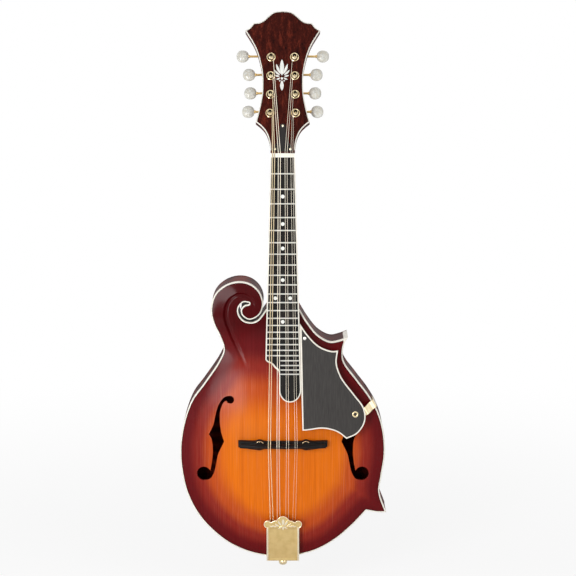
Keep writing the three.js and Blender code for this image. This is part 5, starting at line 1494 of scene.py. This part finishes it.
def build_bridge():
    arch_top = -PLATE_EDGE - TOP_ARCH * float(arch(0.0, BRIDGE))
    top, stud_x = arch_top - FOOT_HEIGHT, STUD_SPACING / 2
    narrow = FOOT_DEPTH * 0.42
    side = smooth_line([[(FOOT_HALF, FOOT_DEPTH * 0.4), (FOOT_HALF * 0.93, narrow),
                         (stud_x + WHEEL_RADIUS, narrow), (stud_x, FOOT_DEPTH * 0.58),
                         (stud_x - WHEEL_RADIUS, narrow), (0, narrow)]], 8)
    right = np.concatenate(((side * (1, -1))[::-1], side)) + (0, BRIDGE)
    line = turned_left(both_sides(right)[:-1])
    slope_start = stud_x + 7.8

    def slope(x, z):
        share = np.clip((np.abs(x) - slope_start) / (FOOT_HALF - slope_start), 0, 1)
        return top + 0.35 * FOOT_HEIGHT * share

    base = soft_plate(line, slope, lambda x, z: -PLATE_EDGE - TOP_ARCH * arch(x, z), radius=0.8,
                      step=2.4)
    make("bridge_foot", base, EBONY, "bridge_base", sharp=40)
    sides = (("bass", -stud_x), ("treble", stud_x))
    for name, x in sides:
        make(f"bridge_stud_{name}", stud(x, top), BRIGHT_GOLD, "bridge_base")
    front = top - 0.9 - WHEEL_THICKNESS
    for name, x in sides:
        make(f"knurled_wheel_{name}", wheel(x, front), BRIGHT_GOLD, f"thumbwheel_{name}",
             f"wheel_{name}")
    build_saddle(top, front, stud_x)


def build_saddle(top, front, stud_x):
    """The saddle bar, with a boss over each stud, drawn upright in X and height."""
    crown = NECK @ Vector((0, -STRING_AT_SADDLE, -SCALE_LENGTH - COMPENSATION))
    bottom, tip, end = -(front - GAP), -crown.y - GAP + 0.28, 53.0
    height, shoulder = tip - bottom, STRINGS[-1][2] * 1.45
    low, middle = bottom + height * 0.4, bottom + height * 0.62
    curve = smooth_line([[(-end, low), (-end * 0.8, middle), (-shoulder, tip), (shoulder, tip),
                          (end * 0.8, middle), (end, low)]], 10)
    curve[:, 1] = np.minimum(curve[:, 1], tip)
    line = turned_left(np.concatenate(([(end, bottom), (-end, bottom)], curve)))

    def half_thickness(x, h):
        lean = np.clip((h - tip + height * 0.5) / (height * 0.5), 0, 1)
        boss = ease(1 - np.abs(np.abs(x) - stud_x) / 8.0) * np.clip((bottom + 5.2 - h) / 2.0, 0, 1)
        return (3.1 - 0.9 * np.abs(x) / end) * (1 - 0.68 * lean) + 2.3 * boss

    soft = 0.6
    near, far = (rounded(line, lambda x, h, s=s: s * half_thickness(x, h), soft, -s)
                 for s in (-1, 1))
    bar = plate(line, near, far, step=1.8, rings=edge_rings(line, soft))
    bores = [lathe([(top - 8.2, 0), (top - 8.2, 2.0), (2 - bottom, 2.0), (2 - bottom, 0)],
                   centre=(x, BRIDGE), sides=24) for x in (-stud_x, stud_x)]
    stand = Matrix.Translation((0, 0, crown.z)) @ Matrix.Rotation(math.radians(90), 4, "X")
    make("bridge_saddle_bar", difference(moved(bar, stand), bores), EBONY, "bridge_saddle",
         "saddle", sharp=45)


# Tailpiece and end pin.

# Place, length, width and angle of each leaf on the cover's crown.
COVER_LEAVES = (
    (0, 50.6, 9.0, 3.4, 0), (3.9, 49.2, 8.0, 2.4, -0.55), (7.2, 46.8, 7.2, 2.1, -0.95),
    (10.6, 45.4, 6.4, 1.8, -1.25), (14.2, 45.0, 5.0, 1.5, -1.5), (3.4, 43.6, 6.4, 1.8, -2.2),
    (0, 42.4, 5.4, 2.0, 0))


def build_cover():
    wide, ear_radius, soft = TAIL_WIDTH / 2, 4.6, 0.55
    right = smooth_line(scaled([CROWN_SHARES], wide, TAIL_LENGTH), 5)
    ear_z = TAIL_LENGTH * 0.845
    ear_x = wide + ear_radius * 0.22 - ear_radius / 2
    turn = np.radians(np.linspace(112, -100, 27))
    ear = np.stack((ear_x + ear_radius * np.cos(turn),
                    ear_z - ear_radius / 3 + ear_radius * np.sin(turn)), 1)
    low, shoulder = -ear_radius / 3, ear_z - ear_radius * 1.6
    half_crown = np.concatenate((right[:-1], ear[:-4]))
    crown = np.concatenate((mirrored(half_crown)[::-1][:-1], half_crown))
    line = np.concatenate((right[:-1], ear, [(wide, shoulder), (wide, low)]))
    line = turned_left(np.concatenate((line, mirrored(line)[::-1][:-1])))
    soft_edge = rounded(line, -COVER_FACE, soft)

    def face(x, z):
        sunk = np.clip((wide - 3.0 - np.abs(x)) / 0.8, 0, 1) * np.clip((shoulder + 1 - z) / 2, 0, 1)
        return soft_edge(x, z) + 0.45 * sunk * np.clip((z - low - 1.5) / 0.8, 0, 1)

    back = -COVER_FACE + 0.5
    parts, lips = [plate(line, face, -COVER_FACE + COVER_THICKNESS + 0.1, step=1.5,
                         rings=edge_rings(line, soft))], []
    turn = np.linspace(0, math.pi, 13)
    for s in (-1, 1):
        ends = sorted(((wide - COVER_THICKNESS) * s, wide * s))
        parts.append(box(*ends, back, 0, low, shoulder))
        rings = []
        for z in np.linspace(low + 0.2, shoulder + 1.4, 13):
            fade = min(1.0, 0.35 + (shoulder + 1.4 - z) / 3)
            section = np.stack((s * (wide - 1.15) + 1.12 * np.cos(turn),
                                -COVER_FACE + 0.2 - 0.64 * fade * np.sin(turn)), 1)
            section = np.concatenate((section, section[::-1] * (1, 0) + (0, back)))
            rings.append([(x, y, z) for x, y in section])
        lips.append(skin(rings))
    for x, z, length, width, angle in COVER_LEAVES:
        for side in (-1, 1) if x else (1,):
            shape = leaf(side * x, z, length, width, side * angle, side * 0.4)
            lips.append(plate(shape, -COVER_FACE - 0.34, back, step=1.2))
    bead = [(x * 0.985, -COVER_FACE + 0.1, z - 0.55) for x, z in crown]
    node, body = "tailpiece_cover", "tail_cover"
    make("sliding_cover", merge(*parts), GOLD, node, body, TAIL, sharp=35)
    # The lips, the leaves and the edge bead take a paler gold than the cover, as painted highlight.
    make("cover_side_lips", merge(*lips), PALE_GOLD, node, body, TAIL, sharp=35)
    place("cover_edge_bead", wire(bead, 0.5, PALE_GOLD, matrix=TAIL), node, body)


def build_end_pin():
    seat, radius, length = -TAIL_EDGE + 0.5 + TAIL_BASE_THICKNESS + 0.1, 5.2, 16.0
    shares = ((0.3, 0.74), (0.5, 0.74), (0.66, 0.94), (0.75, 1), (0.84, 1), (0.93, 0.9),
              (0.985, 0.72), (1, 0.6), (1, 0))
    head = [(seat + length * t, radius * r) for t, r in shares]
    points, faces = lathe([(-TAIL_EDGE - 20, 0), (-TAIL_EDGE - 20, 3.5), (seat, 4.0),
                           (seat, radius * 0.9), (seat + 0.4, radius * 0.95), *head], sides=48)
    upright = np.stack((points[:, 0], points[:, 2] + RIM_DEPTH / 2, -points[:, 1]), 1)
    make("end_pin_turned", (upright, faces), BRIGHT_GOLD, "end_pin")


# Pickguard and its bracket.

def guard_point(x, z):
    top = JOINT - 15.9
    along = z * GUARD_LENGTH
    return board_half(top) + 0.6 - BOARD_TAPER / 2 * along + x * GUARD_WIDTH, top + along


def build_guard():
    runs = [[guard_point(*p) for p in run] for run in GUARD_SHARES]
    line = np.concatenate((smooth_line(runs, 8), [guard_point(0, -0.927)]))
    core, face = inset(line, GUARD_BINDING), GUARD_FRONT + 0.03
    make("pickguard_sheet", plate(core, face, GUARD_BACK, step=5.0), GUARD, "pickguard",
         matrix=NECK)
    edge = soft_plate(line, GUARD_FRONT, GUARD_BACK, radius=0.4, holes=[core], step=2.0,
                      shares=(0.3, 1.0))
    make("pickguard_edging", edge, CREAM, "pickguard", matrix=NECK, sharp=CREASE)
    screw = items([(26.8, face, -220.8)], screw_head(2.0), STEEL, NECK)
    place("pickguard_screw", screw, "pickguard")
    eyelet = turned_ring([(1.5, 1.9), (1.5, 3.9), (0.8, 3.9), (0.35, 3.5), (0.2, 2.9),
                          (0.35, 2.3), (0.8, 1.9)], 36)
    place("pickguard_eyelet", items([(89.0, 0, -314.7)], eyelet, BRIGHT_GOLD, NECK), "pickguard")


def build_strap():
    """The strap from under the guard's edge over the binding and down the rim."""
    gx, gz = guard_point(0.967, -0.765)
    edge = NECK @ Vector((gx, GUARD_BACK, gz))
    fine = spaced(outline, 0.4)
    away = np.hypot(fine[:, 0] - edge.x, fine[:, 1] - edge.z)
    near = fine[away.argmin()]
    turn = math.atan2(near[1] - edge.z, near[0] - edge.x)
    thick, reach, width = 1.2, away.min() + GAP, 9.8
    back = edge.y + GAP + thick + width * math.sin(NECK_ANGLE)
    inner = smooth_line([[(-width, back), (-width * 0.4, back), (width * 0.15, back - 0.1),
                          (reach * 0.62, -PLATE_EDGE - 4.2), (reach - 0.8, -PLATE_EDGE - 2.2),
                          (reach, -PLATE_EDGE + 1.5), (reach, 4.0), (reach, 14.0)]], 6)
    along = np.gradient(inner, axis=0)
    along /= np.linalg.norm(along, axis=1)[:, None]
    outer = inner + np.stack((along[:, 1], -along[:, 0]), 1) * thick
    rings = []
    for under, over in zip(inner, outer):
        rings.append([])
        for (out, y), side in ((under, -1), (under, 1), (over, 1), (over, -1)):
            across = side * width / 2
            rings[-1].append((edge.x + out * math.cos(turn) - across * math.sin(turn), y,
                              edge.z + out * math.sin(turn) + across * math.cos(turn)))
    make("pickguard_strap", skin(rings), BRIGHT_GOLD, "pickguard_bracket")


def dress_inner_pieces():
    """Plain inner pieces keep their solids and take a finish."""
    finishes = {"nut": BONE, "truss_rod": STEEL, "head_block": WOOD, "tail_block": WOOD,
                "tone_bar_bass": WOOD, "tone_bar_treble": WOOD, "tailpiece_base": GOLD}
    for node, look in finishes.items():
        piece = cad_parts[node]
        piece.data.materials.clear()
        piece.data.materials.append(look)


# Floor, lamps, camera and surroundings, in metres but for the floor.

# The floor lies low enough for the tailpiece's cover to slide right out over it.
FLOOR_REACH, FLOOR_BOTTOM, FLOOR_TOP = 3000, -570, -556
# Name, place, size and power of each lamp.
LAMPS = (("tall_softbox", (-0.51, -1.19, -0.06), (0.34, 0.92), 10.5),
         ("soft_fill", (1.7, -1.7, 0.5), (1.0, 1.6), 7),
         ("high_back", (0.2, 1.0, 1.7), (1.4, 0.8), 10))
LIT_POINT = (0.0, 0.0, -0.2)
WORLD_LIGHT = 0.45
# The camera stands far off, a little above the face, on the centre of the picture.
CAMERA_AIM = Vector((0.0064, -0.008, -0.159))
CAMERA_DISTANCE, CAMERA_TILT = 2.2, math.radians(10.2)
LENS, SENSOR, FARTHEST = 112.7, 36.0, 30.0


def face_towards(thing, target):
    away = Vector(target) - thing.location
    thing.rotation_euler = away.to_track_quat("-Z", "Y").to_euler()


def build_studio():
    slab = box(-FLOOR_REACH, FLOOR_REACH, -FLOOR_REACH, FLOOR_REACH, FLOOR_BOTTOM, FLOOR_TOP)
    floor = linked("studio_floor", mesh_of("studio_floor", slab, [studio_floor()]))
    for name, spot, size, power in LAMPS:
        data = bpy.data.lights.new(name, "AREA")
        data.shape, data.energy = "RECTANGLE", power
        data.size, data.size_y = size
        light = linked(name, data)
        light.location = spot
        face_towards(light, LIT_POINT)

    data = bpy.data.cameras.new("camera")
    data.lens, data.sensor_width, data.clip_end = LENS, SENSOR, FARTHEST
    camera = linked("camera", data)
    camera.location = CAMERA_AIM + CAMERA_DISTANCE * Vector(
        (0.0, -math.cos(CAMERA_TILT), math.sin(CAMERA_TILT)))
    face_towards(camera, CAMERA_AIM)
    scene = bpy.context.scene
    scene.camera = camera

    # The world is white to the camera and in reflections, and lights the object less.
    scene.world = bpy.data.worlds.new("white_surround")
    scene.world.use_nodes = True
    graph = Graph(scene.world.node_tree)
    graph.tree.nodes.clear()
    seen = path = graph.node("ShaderNodeLightPath", out="Is Camera Ray")
    for ray in ("Is Glossy Ray", "Is Transmission Ray"):
        seen = graph.math("MAXIMUM", seen, path.out(ray))
    shine = graph.node("ShaderNodeBackground", None, {
        "Color": WHITE, "Strength": seen * (1.0 - WORLD_LIGHT) + WORLD_LIGHT})
    graph.node("ShaderNodeOutputWorld", None, {"Surface": shine})
    scene.view_settings.view_transform = "Standard"


build_soundboard()
build_rim_and_back()
build_fingerboard()
build_neck()
build_headstock()
build_posts(build_strings())
build_machine_plates()
build_bridge()
build_cover()
build_end_pin()
build_guard()
build_strap()
dress_inner_pieces()
build_studio()
